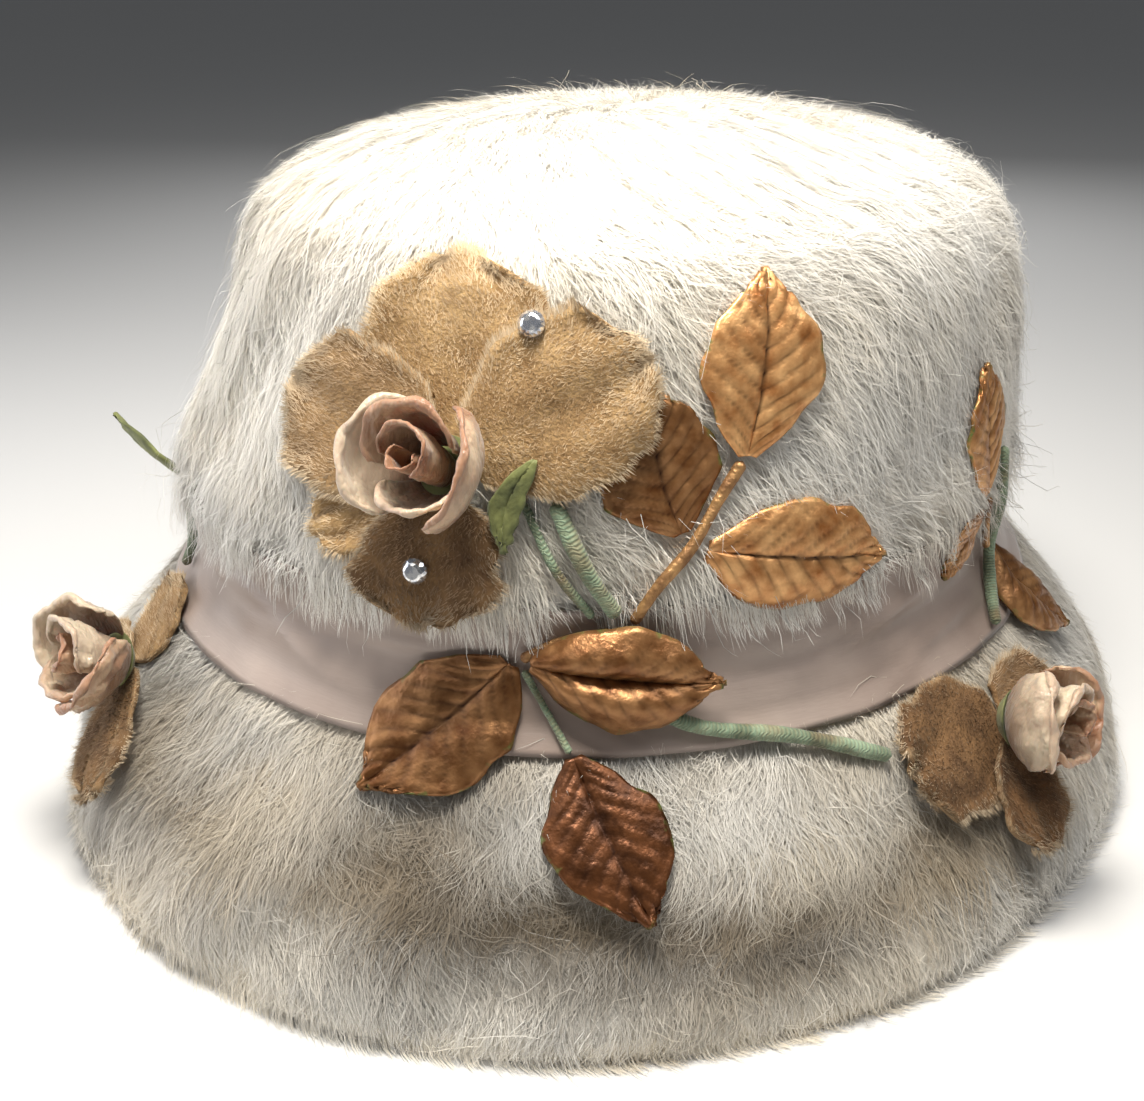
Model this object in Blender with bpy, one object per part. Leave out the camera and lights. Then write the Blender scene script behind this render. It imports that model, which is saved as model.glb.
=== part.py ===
"""Mohair felt hat with a satin band, velvet and satin roses and bronzed leaves, in metres.

The front of the hat faces -Y. Azimuths are degrees, 0 at the front and growing towards +X.
A level is 0 at the hem, 1 at the seam between brim and crown, and 2 at the top of the crown.
"""

from math import cos, degrees, exp, hypot, pi, radians, sin

import bmesh
import bpy
from mathutils import Matrix, Vector

# Felt body
HEM_HALF_WIDTH = 0.1210
SEAM_HALF_WIDTH = 0.0885
SEAM_HEIGHT = 0.0600
CROWN_HALF_WIDTH = 0.0900
CROWN_HEIGHT = 0.0860
OVAL_RATIO = 1.08
CROWN_LEAN = 0.0062
LEAN_AZIMUTH = 120.0
FELT_THICKNESS = 0.0026
LOCK_RELIEF = 0.0019
CLEARANCE = 0.0003

# Satin band
BAND_FALL = 0.0130
BAND_RISE = 0.0130
BAND_THICKNESS = 0.0008
BAND_FLARE = 0.0011
BAND_FOLD = 0.0012

# Trimmings
LEAF_THICKNESS = 0.0007
VELVET_THICKNESS = 0.0011
SATIN_THICKNESS = 0.0006
STONE_DIAMETER = 0.0047
STONE_HEIGHT = 0.0017
CALYX_RADIUS = 0.0066
CALYX_HEIGHT = 0.0022
TRIM_MODULE = 0.0010

# Mesh fineness
BODY_SIDES = 56
BAND_SIDES = 64
MERIDIAN_STEPS = 160
NORMAL_REACH = 0.009
STEM_POINTS_PER_STRETCH = 3

BRIM_SECTIONS = (
    # height share of SEAM_HEIGHT, flare share from the seam 0 to the hem 1
    (0.00, 1.000),
    (0.07, 0.998),
    (0.16, 0.970),
    (0.30, 0.877),
    (0.42, 0.750),
    (0.54, 0.580),
    (0.66, 0.390),
    (0.75, 0.240),
    (0.86, 0.085),
    (1.00, 0.000),
)
BRIM_LINING_LEVELS = (1.00, 0.80, 0.60, 0.42, 0.25, 0.10, 0.00)

CROWN_SECTIONS = (
    # height share of CROWN_HEIGHT, share of CROWN_HALF_WIDTH, share of CROWN_LEAN,
    # share of the step from CROWN_HALF_WIDTH to SEAM_HALF_WIDTH
    (0.000, 0.983, 0.00, 1.00),
    (0.110, 0.985, -0.08, 0.70),
    (0.165, 0.996, -0.10, 0.50),
    (0.245, 0.988, 0.00, 0.25),
    (0.350, 0.962, 0.27, 0.00),
    (0.465, 0.936, 0.58, 0.00),
    (0.570, 0.914, 0.80, 0.00),
    (0.685, 0.887, 0.88, 0.00),
    (0.768, 0.860, 0.84, 0.00),
    (0.826, 0.822, 0.82, 0.00),
    (0.884, 0.745, 0.80, 0.00),
    (0.936, 0.610, 0.70, 0.00),
    (0.976, 0.400, 0.60, 0.00),
    (0.994, 0.170, 0.60, 0.00),
    (1.000, 0.000, 0.60, 0.00),
)
CROWN_LINING_LEVELS = (1.00, 1.245, 1.465, 1.685, 1.826, 1.936, 1.985, 2.00)

BRIM_DENTS = (
    # azimuth, level, reach in degrees, reach in levels, depth as a share of FELT_THICKNESS
    (14.0, 0.46, 9.0, 0.20, 1.00),
    (31.0, 0.34, 10.0, 0.16, 1.15),
    (46.0, 0.26, 8.0, 0.14, 0.95),
    (-20.0, 0.52, 12.0, 0.18, 0.60),
    (66.0, 0.42, 9.0, 0.18, 0.60),
    (150.0, 0.44, 14.0, 0.20, 0.60),
    (-110.0, 0.40, 13.0, 0.20, 0.70),
)

BAND_SECTIONS = (
    # share of the band's height, share of BAND_FLARE
    (0.00, 1.00),
    (0.12, 0.80),
    (0.30, 0.28),
    (0.50, 0.00),
    (0.72, 0.00),
    (0.88, 0.25),
    (1.00, 0.55),
)
BAND_INNER_SHARES = (1.00, 0.72, 0.50, 0.25, 0.00)
BAND_FOLDS = (
    # start azimuth, start height share, end azimuth, end height share, depth share of BAND_FOLD
    (-62.0, 0.95, 6.0, 0.22, 1.00),
    (34.0, 0.55, 82.0, 0.62, 1.00),
    (24.0, 0.22, 70.0, 0.30, 0.80),
    (96.0, 0.70, 190.0, 0.35, 0.80),
    (200.0, 0.40, 280.0, 0.75, 0.80),
)

LEAF_OUTLINE = (
    (0.00, 0.13),
    (0.16, 0.60),
    (0.34, 0.94),
    (0.50, 1.00),
    (0.70, 0.84),
    (0.88, 0.46),
    (1.00, 0.07),
)
PETAL_OUTLINE = (
    (0.00, 0.36),
    (0.16, 0.72),
    (0.38, 0.95),
    (0.62, 1.00),
    (0.82, 0.86),
    (0.94, 0.58),
    (1.00, 0.32),
)

CHARTS = {
    # name: azimuth and level of the point that the group's x and y are measured from
    "rose": (13.0, 1.372),
    "upper": (40.0, 1.291),
    "gather": (33.5, 1.134),
    "lower": (22.3, 1.058),
    "right": (76.0, 0.700),
    "side": (92.0, 1.023),
    "left": (-36.0, 0.600),
    "back": (-50.0, 1.100),
}

# The tables below count in TRIM_MODULE, in the group's chart: x runs to the viewer's right, y up
# the hat and lift out from the surface that the piece lies on.
BLADES = (
    # name, kind, chart, base x, base y, tip x, tip y, half width, lift at base, middle and tip,
    # edge lift, lobe lift, sideways bow
    ("rose_velvet_top", "velvet", "rose", -4, 7, -6.6, 41.4, 18, 0.1, 0.1, 0.9, 0.2, 0.0, 0),
    ("rose_velvet_lower_left", "velvet", "rose", -11.5, -2.5, -25, -9, 6.5, 0.3, 0.3, 0.7, 0.2, 0.0, 0),
    ("rose_velvet_right", "velvet", "rose", 1.0, 8, 28, 25.5, 15.5, 2.0, 2.6, 1.4, 0.0, 0.4, 0),
    ("rose_velvet_left", "velvet", "rose", -6.5, 7, -38, 15, 14, 2.0, 2.2, 1.6, 0.3, 0.0, 0),
    ("rose_velvet_bottom", "velvet", "rose", -2, -0.5, -2, -21, 12.5, 2.0, 2.6, 4.0, 0.0, 0.0, 0),
    ("rose_sepal", "sepal", "rose", 12.0, 8.0, 10.5, -8.0, 2.6, 4.4, 4.6, 4.4, 0.0, 0.0, 2),
    ("leaf_upper_top", "leaf", "upper", 6.2, 14.8, 10.1, 46.1, 11.2, 1.5, 1.3, 0.5, 0.0, 0.7, 0),
    ("leaf_upper_left", "leaf", "upper", -2.5, 1.8, -11.9, 27.2, 10.0, 0.1, 0.2, 0.3, -0.1, 0.3, -1.5),
    ("leaf_upper_right", "leaf", "upper", 2.4, -1.6, 37.1, -8.5, 10.3, 0.3, 1.0, 0.5, -0.6, 0.7, 0),
    ("leaf_lower_left", "leaf", "lower", -3.2, -2.6, -25.0, -29.5, 12.0, 0.9, 1.2, 0.7, -0.8, 0.8, 0),
    ("leaf_folded", "leaf", "lower", 1.2, -1.4, 32.6, -6.9, 10.8, 3.2, 5.2, 4.6, -2.2, 3.0, 0),
    ("leaf_lower_tip", "leaf", "lower", 8.4, -20.0, 19.5, -49.0, 8.8, 0.8, 0.9, 1.4, 0.0, 0.6, 0),
    ("right_velvet_outer", "velvet", "right", 3, -5, -24, -7, 13.5, 0.1, 0.2, 1.4, 0.4, 0.0, 0),
    ("right_velvet_lower", "velvet", "right", 0.5, -10.5, -3, -31, 8.0, 2.0, 2.2, 3.6, 0.4, 0.0, 0),
    ("right_velvet_back", "velvet", "right", 4.8, -3, 22, -8, 8.0, 0.1, 0.3, 1.2, 0.4, 0.0, 0),
    ("side_leaf_top", "leaf", "side", -8.6, 15.5, -14.1, 43.9, 8.0, 0.1, 0.5, 0.3, 0.0, 0.5, 0),
    ("side_leaf_small", "leaf", "side", -9.5, 12.0, -22.8, 1.8, 5.0, 0.1, 0.4, 0.2, 0.0, 0.4, 0),
    ("side_leaf_curled", "leaf", "side", 4.0, -2.0, 14.0, -30.0, 8.0, 0.3, 2.4, 2.4, -1.2, 1.6, 2),
    ("left_velvet_upper", "velvet", "left", 1, 2, -9, 19, 11.0, 0.1, 0.2, 1.2, 0.4, 0.0, 0),
    ("left_velvet_lower", "velvet", "left", 3, -0.5, 21, -20, 9.0, 1.9, 2.2, 4.0, 0.4, 0.0, 0),
    ("left_velvet_back", "velvet", "left", -1, -1, -20, -12, 10.0, 2.0, 1.8, 1.4, 0.4, 0.0, 0),
    ("left_leaf", "sepal", "back", -2.0, -0.5, -9.0, 10.0, 4.4, 1.6, 8.0, 17.0, -0.8, 0.6, 0),
)

STEMS = (
    # name, kind, radius, points as chart, x, y and lift
    ("rose_stem", "stem", 1.6, (
        ("rose", 16.2, 0.8, 1.7), ("gather", -7.6, 10.2, 1.7), ("gather", -1.6, 1.6, 1.7))),
    ("rose_stem_thin", "stem", 0.9, (
        ("gather", -20.4, 21.5, 1.0), ("gather", -12.6, 10.0, 1.0), ("gather", -5.6, 1.0, 1.0))),
    ("upper_twig", "twig", 1.1, (
        ("gather", 0.8, -0.2, 1.7), ("gather", 4.6, 6.6, 1.4), ("upper", -0.6, -0.6, 1.2),
        ("upper", 2.8, 7.4, 1.2), ("upper", 5.8, 13.8, 1.5))),
    ("lower_twig", "twig", 1.0, (
        ("gather", -2.6, -2.4, 1.1), ("gather", -11.2, -4.4, 1.1), ("lower", -1.0, -1.8, 1.3))),
    ("lower_wire", "stem", 0.7, (
        ("lower", -0.8, -4.2, 0.8), ("lower", 3.4, -11.4, 0.8), ("lower", 7.8, -19.2, 0.9))),
    ("green_stem", "stem", 1.5, (
        ("gather", -2.0, -12.6, 1.6), ("gather", 10.1, -21.4, 1.6), ("gather", 27.3, -27.0, 1.6),
        ("right", -25.6, -2.6, 1.6))),
    ("side_stem", "stem", 1.3, (
        ("side", -2.4, 23.5, 1.4), ("side", -1.4, 12.0, 1.4), ("side", -0.6, 0.2, 1.4),
        ("side", -4.4, -8.0, 1.4), ("side", -9.4, -15.0, 1.5))),
    ("side_twig", "twig", 0.8, (
        ("side", -8.4, 14.6, 1.1), ("side", -5.8, 8.0, 1.4), ("side", -3.4, 1.0, 1.4))),
    ("left_stem", "stem", 1.2, (
        ("left", -11.0, 21.5, 1.3), ("left", -14.0, 27.5, 1.3), ("back", -1.2, -2.0, 1.6))),
)

BUDS = (
    # name, chart, x, y, lift of the calyx foot, lean to the right and up in degrees, size
    ("rose", "rose", -1.4, 4.4, 4.0, -11.0, 13.0, 1.00),
    ("right", "right", -0.5, -6.0, 4.9, 6.0, -24.0, 0.90),
    ("left", "left", 3.5, 1.5, 4.9, 20.0, -14.0, 0.94),
)
ROSE_PETALS = (
    # name, centre, half span, foot, belly and rim radius, height, rolled lip, spiral, side drop
    ("core", 250, 125, 1.7, 2.3, 2.5, 14.0, 0.2, 0.3, 0.05),
    ("throat", 60, 120, 2.9, 4.3, 4.9, 15.0, 0.4, 0.4, 0.10),
    ("top", 105, 84, 4.3, 6.9, 8.3, 14.5, 1.3, 0.5, 0.22),
    ("bottom", 270, 62, 4.3, 7.4, 8.6, 11.0, 0.9, 0.3, 0.30),
    ("right", -4, 66, 5.8, 11.6, 11.8, 14.5, 0.9, -0.5, 0.30),
    ("left", 172, 60, 5.8, 11.6, 12.2, 12.5, 1.3, 0.4, 0.30),
)
SIDE_PETALS = (
    ("core", 20, 120, 1.9, 3.2, 3.6, 15.5, 0.5, 0.5, 0.10),
    ("upper", 95, 100, 3.6, 6.4, 7.2, 15.5, 1.0, 0.6, 0.20),
    ("lower", 275, 66, 4.2, 7.4, 8.4, 13.5, 1.2, 0.4, 0.30),
    ("right", -15, 68, 5.9, 10.9, 11.8, 14.0, 1.2, 0.5, 0.30),
    ("left", 165, 68, 5.9, 10.9, 11.8, 13.5, 1.4, 0.5, 0.30),
)
STONES = (
    # name, chart, x, y and lift of the flat back
    ("rhinestone_upper", "rose", 8.6, 30.0, 4.2),
    ("rhinestone_lower", "rose", -3.0, -12.0, 4.5),
)
STONE_PROFILE = (
    # share of the radius, share of the height
    (0.00, 0.00),
    (0.96, 0.00),
    (1.00, 0.30),
    (0.84, 0.68),
    (0.54, 1.00),
    (0.00, 1.00),
)

MATERIALS = {
    # slot: colour, roughness, metallic, transmission
    "mohair_felt": ((0.78, 0.70, 0.58), 0.95, 0.0, 0.0),
    "satin_ribbon": ((0.60, 0.47, 0.41), 0.38, 0.0, 0.0),
    "velvet": ((0.50, 0.33, 0.18), 0.85, 0.0, 0.0),
    "bud_satin": ((0.78, 0.64, 0.48), 0.42, 0.0, 0.0),
    "bronze_leaf": ((0.42, 0.19, 0.07), 0.38, 0.75, 0.0),
    "green_wrap": ((0.20, 0.38, 0.24), 0.70, 0.0, 0.0),
    "bronze_twig": ((0.34, 0.18, 0.08), 0.50, 0.55, 0.0),
    "sepal_green": ((0.25, 0.28, 0.08), 0.65, 0.0, 0.0),
    "crystal": ((0.95, 0.96, 1.00), 0.03, 0.0, 0.95),
}
BLADE_KINDS = {
    # kind: outline, thickness, slot
    "leaf": (LEAF_OUTLINE, LEAF_THICKNESS, "bronze_leaf"),
    "velvet": (PETAL_OUTLINE, VELVET_THICKNESS, "velvet"),
    "sepal": (LEAF_OUTLINE, LEAF_THICKNESS, "sepal_green"),
}
STEM_SLOTS = {"stem": "green_wrap", "twig": "bronze_twig"}


def between(rows, at):
    for low, high in zip(rows, rows[1:]):
        if at <= high[0]:
            part = (at - low[0]) / (high[0] - low[0])
            return [a + (b - a) * part for a, b in zip(low, high)]
    return list(rows[-1])


def eased(start, end, at):
    share = min(max((at - start) / (end - start), 0.0), 1.0)
    return share * share * (3.0 - 2.0 * share)


# Carrier surface: the felt and what lies on it

BAND_CHORD_ROOM = max(SEAM_HALF_WIDTH, CROWN_HALF_WIDTH) * OVAL_RATIO * (1.0 - cos(pi / BAND_SIDES))


def felt_section(level):
    if level <= 1.0:
        _, flare = between(BRIM_SECTIONS, max(level, 0.0))
        half_width = SEAM_HALF_WIDTH + flare * (HEM_HALF_WIDTH - SEAM_HALF_WIDTH)
        return level * SEAM_HEIGHT, half_width, 0.0
    _, width, lean, seam_share = between(CROWN_SECTIONS, level - 1.0)
    seam_step = SEAM_HALF_WIDTH - CROWN_SECTIONS[0][1] * CROWN_HALF_WIDTH
    half_width = width * CROWN_HALF_WIDTH + seam_share * seam_step
    return SEAM_HEIGHT + (level - 1.0) * CROWN_HEIGHT, half_width, lean * CROWN_LEAN


def lining_section(level):
    """The inner face of the felt, one thickness in from the outer face."""
    height, half_width, lean = felt_section(level)
    if level in (0.0, 1.0):
        return height, half_width - FELT_THICKNESS, lean
    if level == 2.0:
        return height - FELT_THICKNESS, 0.0, lean
    step = 0.02
    low = felt_section(max(level - step, 0.0))
    high = felt_section(min(level + step, 2.0))
    run = hypot(high[0] - low[0], high[1] - low[1])
    out_share = (high[0] - low[0]) / run
    up_share = (low[1] - high[1]) / run
    return height - FELT_THICKNESS * up_share, half_width - FELT_THICKNESS * out_share, lean


def on_oval(azimuth, height, half_width, lean):
    turn = radians(azimuth)
    lean_turn = radians(LEAN_AZIMUTH)
    return Vector((
        half_width * sin(turn) + lean * sin(lean_turn),
        -half_width * OVAL_RATIO * cos(turn) - lean * cos(lean_turn),
        height,
    ))


def band_share(height):
    """1 where the band covers the felt, 0 where the fur is free."""
    foot = SEAM_HEIGHT - BAND_FALL
    top = SEAM_HEIGHT + BAND_RISE
    below = eased(foot - 0.3 * BAND_FALL, foot, height)
    above = eased(top - 0.1 * BAND_RISE, top + 0.3 * BAND_RISE, height)
    return below * (1.0 - above)


def fold_height(azimuth, share):
    """How far the band's soft folds stand out at a height share of the band."""
    rise = 0.0
    for start, start_share, end, end_share, depth in BAND_FOLDS:
        along = (azimuth - start) % 360.0 / (end - start)
        if along < 1.0:
            middle = start_share + (end_share - start_share) * along
            ridge = exp(-((share - middle) / 0.15) ** 2)
            rise = max(rise, depth * BAND_FOLD * ridge * sin(pi * along) ** 0.6)
    return rise


def band_rise(share):
    """How far the band's inner face stands off the felt at a height share of the band."""
    return CLEARANCE + BAND_CHORD_ROOM + BAND_FLARE * between(BAND_SECTIONS, share)[1]


def cover_section(level, azimuth=None):
    """The surface that trimmings lie on: clear of the fur, or of the band and its folds."""
    height, half_width, lean = felt_section(level)
    share = (height - SEAM_HEIGHT + BAND_FALL) / (BAND_FALL + BAND_RISE)
    share = min(max(share, 0.0), 1.0)
    fur = LOCK_RELIEF + CLEARANCE
    band = band_rise(share) + BAND_THICKNESS + CLEARANCE
    if azimuth is not None:
        band += fold_height(azimuth, share)
    return height, half_width + fur + band_share(height) * (band - fur), lean


def meridian():
    """Levels from the hem up with the length of the way along the cover."""
    rows = [(0.0, 0.0)]
    last = cover_section(0.0)
    for step in range(1, MERIDIAN_STEPS + 1):
        level = 1.98 * step / MERIDIAN_STEPS
        here = cover_section(level)
        rows.append((rows[-1][0] + hypot(here[0] - last[0], here[1] - last[1]), level))
        last = here
    return rows


MERIDIAN = meridian()
LENGTHS = [(level, length) for length, level in MERIDIAN]


def level_at(length):
    return between(MERIDIAN, max(length, 0.0))[1]


def chart_point(chart, x, y, lift):
    """The point x to the right of the chart's anchor, y up the hat and lift off its cover."""
    azimuth, level = CHARTS[chart]
    turn = azimuth + degrees(x / felt_section(level)[1])
    length = between(LENGTHS, level)[1] + y
    here = on_oval(turn, *cover_section(level_at(length), turn))
    above = on_oval(turn, *cover_section(level_at(length + NORMAL_REACH)))
    below = on_oval(turn, *cover_section(level_at(length - NORMAL_REACH)))
    section = cover_section(level_at(length))
    side = on_oval(turn + 4.0, *section) - on_oval(turn - 4.0, *section)
    return here + side.cross(above - below).normalized() * lift


# Shapes

def fur_relief(azimuth, level):
    """Soft locks in the outer face of the fur, swept down and to the right."""
    height = felt_section(level)[0]
    turn = radians(azimuth)
    broad = sin(9.0 * turn + 5.5 * level) * 0.5
    locks = sin(14.0 * turn - 9.0 * level + 1.7 * sin(3.0 * turn))
    shape = 0.75 + 0.35 * broad + 0.55 * locks
    crest = 1.0 - eased(1.86, 1.99, level)
    hem = eased(0.0, 0.12, level)
    return LOCK_RELIEF * min(max(shape, 0.0), 1.0) * crest * hem * (1.0 - band_share(height))


def dent_depth(azimuth, level):
    depth = 0.0
    for centre, centre_level, reach, level_reach, share in BRIM_DENTS:
        off = (azimuth - centre + 180.0) % 360.0 - 180.0
        away = (off / reach) ** 2 + ((level - centre_level) / level_reach) ** 2
        depth += share * FELT_THICKNESS * exp(-away)
    return depth


def felt_face(azimuth, level):
    height, half_width, lean = felt_section(level)
    if 0.0 < half_width:
        half_width += fur_relief(azimuth, level) - dent_depth(azimuth, level)
    return on_oval(azimuth, height, half_width, lean)


def lining_face(azimuth, level):
    height, half_width, lean = lining_section(level)
    if 0.0 < half_width:
        half_width -= dent_depth(azimuth, level)
    return on_oval(azimuth, height, half_width, lean)


def band_face(azimuth, share, outer):
    foot = SEAM_HEIGHT - BAND_FALL
    height = foot + share * (BAND_FALL + BAND_RISE)
    level = height / SEAM_HEIGHT if height < SEAM_HEIGHT else 1.0 + (height - SEAM_HEIGHT) / CROWN_HEIGHT
    _, half_width, lean = felt_section(level)
    half_width += band_rise(share) + fold_height(azimuth, share)
    if outer:
        half_width += BAND_THICKNESS
    return on_oval(azimuth, height, half_width, lean)


def bent_grid(name, columns, rows, shape, slot, smooth=True):
    """A grid whose points are moved to shape(u, v), with u and v from 0 to 1, and welded."""
    bm = bmesh.new()
    bmesh.ops.create_grid(bm, x_segments=columns, y_segments=rows, size=1.0)
    for vert in bm.verts:
        vert.co = shape((vert.co.x + 1.0) / 2.0, (vert.co.y + 1.0) / 2.0)
    bmesh.ops.remove_doubles(bm, verts=bm.verts, dist=0.000002)
    return finish_mesh(name, bm, slot, smooth)


def finish_mesh(name, bm, slot, smooth=True):
    mesh = bpy.data.meshes.new(name)
    if not any(edge.is_boundary for edge in bm.edges):
        bmesh.ops.recalc_face_normals(bm, faces=bm.faces)
    bm.to_mesh(mesh)
    bm.free()
    if smooth:
        mesh.shade_smooth()
    item = bpy.data.objects.new(name, mesh)
    bpy.context.collection.objects.link(item)
    mesh.materials.append(material(slot))
    return item


def material(slot):
    found = bpy.data.materials.get(slot)
    if found:
        return found
    colour, roughness, metallic, transmission = MATERIALS[slot]
    found = bpy.data.materials.new(slot)
    found.use_nodes = True
    shader = found.node_tree.nodes["Principled BSDF"]
    shader.inputs["Base Color"].default_value = (*colour, 1.0)
    shader.inputs["Roughness"].default_value = roughness
    shader.inputs["Metallic"].default_value = metallic
    shader.inputs["Transmission Weight"].default_value = transmission
    return found


def lathe(name, sides, stations, point, slot, closed):
    """A turned body: stations run along its profile, which closes on itself or ends on the axis."""
    count = len(stations) if closed else len(stations) - 1

    def shape(u, v):
        station = stations[round(v * count) % len(stations)]
        return point(360.0 * (round(u * sides) % sides) / sides, station)

    return bent_grid(name, sides, count, shape, slot)


def crown():
    outer = [(False, 1.0 + row[0]) for row in reversed(CROWN_SECTIONS)]
    inner = [(True, level) for level in CROWN_LINING_LEVELS]

    def point(azimuth, station):
        inside, level = station
        spot = lining_face(azimuth, level) if inside else felt_face(azimuth, level)
        if level == 1.0:
            spot.z += CLEARANCE
        return spot

    return lathe("crown", BODY_SIDES, outer + inner, point, "mohair_felt", closed=False)


def brim():
    outer = [(False, row[0]) for row in BRIM_SECTIONS]
    inner = [(True, level) for level in BRIM_LINING_LEVELS]

    def point(azimuth, station):
        inside, level = station
        return lining_face(azimuth, level) if inside else felt_face(azimuth, level)

    return lathe("brim", BODY_SIDES, outer + inner, point, "mohair_felt", closed=True)


def hat_band():
    outer = [(True, row[0]) for row in BAND_SECTIONS]
    inner = [(False, share) for share in BAND_INNER_SHARES]

    def point(azimuth, station):
        return band_face(azimuth, station[1], station[0])

    return lathe("hat_band", BAND_SIDES, outer + inner, point, "satin_ribbon", closed=True)


def thicken(item, thickness, offset):
    solid = item.modifiers.new("Thickness", "SOLIDIFY")
    solid.thickness = thickness
    solid.offset = offset
    return item


def blade(name, kind, chart, x0, y0, x1, y1, half_width, lift0, lift1, lift2, edge, lobe, bow):
    """A leaf or petal laid on the hat from its base to its tip."""
    outline, thickness, slot = BLADE_KINDS[kind]
    length = hypot(x1 - x0, y1 - y0)
    along_x = (x1 - x0) / length
    along_y = (y1 - y0) / length

    def shape(u, v):
        across = 2.0 * u - 1.0
        reach = across * half_width * between(outline, v)[1] + bow * sin(pi * v)
        x = x0 + (x1 - x0) * v + reach * along_y
        y = y0 + (y1 - y0) * v - reach * along_x
        lift = lift0 * (1 - v) * (1 - 2 * v) + 4 * lift1 * v * (1 - v) + lift2 * v * (2 * v - 1)
        lift += (edge * across * across + lobe * sin(pi * abs(across))) * sin(pi * min(v + 0.1, 1.0))
        return chart_point(chart, x * TRIM_MODULE, y * TRIM_MODULE, lift * TRIM_MODULE)

    return thicken(bent_grid(name, 4, 6, shape, slot), thickness, 1.0)


def smooth_route(points):
    """Points on a smooth curve through the given ones."""
    ends = [points[0] * 2 - points[1], *points, points[-1] * 2 - points[-2]]
    route = []
    for a, b, c, d in zip(ends, ends[1:], ends[2:], ends[3:]):
        for step in range(STEM_POINTS_PER_STRETCH):
            t = step / STEM_POINTS_PER_STRETCH
            route.append(0.5 * (2 * b + (c - a) * t + (2 * a - 5 * b + 4 * c - d) * t ** 2
                                + (3 * b - a - 3 * c + d) * t ** 3))
    return [*route, points[-1]]


def stem(name, kind, radius, points):
    """A wrapped wire along a smooth route over the hat."""
    route = smooth_route([chart_point(chart, x * TRIM_MODULE, y * TRIM_MODULE, lift * TRIM_MODULE) for chart, x, y, lift in points])
    curve = bpy.data.curves.new(name, "CURVE")
    curve.dimensions = "3D"
    curve.bevel_depth = radius * TRIM_MODULE
    curve.bevel_resolution = 1
    curve.use_fill_caps = True
    spline = curve.splines.new("POLY")
    spline.points.add(len(route) - 1)
    for knot, spot in zip(spline.points, route):
        knot.co = (*spot, 1.0)
    item = bpy.data.objects.new(name, curve)
    bpy.context.collection.objects.link(item)
    curve.materials.append(material(STEM_SLOTS[kind]))
    return item


def bud_frame(chart, x, y, lift, lean_right, lean_up):
    """Axes at a bud's foot: X to the right, Y up the hat and Z out, leant as the bud leans."""
    foot = chart_point(chart, x * TRIM_MODULE, y * TRIM_MODULE, lift * TRIM_MODULE)
    side = (chart_point(chart, (x + 1) * TRIM_MODULE, y * TRIM_MODULE, lift * TRIM_MODULE) - foot).normalized()
    out = (chart_point(chart, x * TRIM_MODULE, y * TRIM_MODULE, (lift + 1) * TRIM_MODULE) - foot).normalized()
    up = out.cross(side)
    axes = Matrix((side, up, out)).transposed().to_4x4()
    lean = Matrix.Rotation(radians(lean_right), 4, "Y") @ Matrix.Rotation(radians(-lean_up), 4, "X")
    return Matrix.Translation(foot) @ axes @ lean


def calyx(name, frame, size):
    bm = bmesh.new()
    bmesh.ops.create_cone(
        bm, cap_ends=True, segments=12, radius1=0.6 * CALYX_RADIUS * size, radius2=CALYX_RADIUS * size,
        depth=CALYX_HEIGHT, matrix=frame @ Matrix.Translation((0.0, 0.0, 0.5 * CALYX_HEIGHT)))
    return finish_mesh(name, bm, "sepal_green", smooth=False)


def satin_petal(name, frame, size, centre, half_span, foot, belly, rim, height, lip, spiral, drop):
    """A petal of a bud: part of a cup round the bud's axis, with its lip rolled outwards."""
    base = CALYX_HEIGHT + CLEARANCE

    def shape(u, v):
        across = 2.0 * u - 1.0
        turn = radians(centre + half_span * across)
        radius = foot * (1 - v) * (1 - 2 * v) + 4 * belly * v * (1 - v) + rim * v * (2 * v - 1)
        radius += spiral * across * v + lip * max(v - 0.8, 0.0) / 0.2
        rise = height * v * (1.0 - drop * across * across)
        spot = Vector((radius * cos(turn), radius * sin(turn), rise)) * size * TRIM_MODULE
        return frame @ (spot + Vector((0.0, 0.0, base + 0.5 * SATIN_THICKNESS)))

    return thicken(bent_grid(name, 5, 4, shape, "bud_satin"), SATIN_THICKNESS, 0.0)


def bud(name, chart, x, y, lift, lean_right, lean_up, size):
    frame = bud_frame(chart, x, y, lift, lean_right, lean_up)
    calyx(f"{name}_calyx", frame, size)
    for petal, *form in ROSE_PETALS if name == "rose" else SIDE_PETALS:
        satin_petal(f"{name}_satin_{petal}", frame, size, *form)


def stone(name, chart, x, y, lift):
    frame = bud_frame(chart, x, y, lift, 0.0, 0.0)
    sides = 8

    def point(azimuth, station):
        width, rise = station
        turn = radians(azimuth)
        across = 0.5 * STONE_DIAMETER * width
        return frame @ Vector((across * cos(turn), across * sin(turn), STONE_HEIGHT * rise))

    item = lathe(name, sides, STONE_PROFILE, point, "crystal", closed=False)
    item.data.shade_flat()
    return item


def main():
    for item in list(bpy.data.objects):
        bpy.data.objects.remove(item)
    crown()
    brim()
    hat_band()
    for row in BLADES:
        blade(*row)
    for row in STEMS:
        stem(*row)
    for row in BUDS:
        bud(*row)
    for row in STONES:
        stone(*row)


main()
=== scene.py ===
"""Looks for the trimmed mohair felt hat: fur, satin band, velvet and satin roses, bronzed leaves.

The front of the hat faces -Y. Azimuths are degrees, 0 at the front and growing towards +X.
A level is 0 at the hem, 1 at the seam between brim and crown, and 2 at the top of the crown.
The body sizes and the tables of trimmings repeat those of the part's source.
"""

from math import cos, pi, radians, sin

import bmesh
import bpy
import numpy as np
from mathutils import Matrix, Vector
from mathutils.bvhtree import BVHTree


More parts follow.
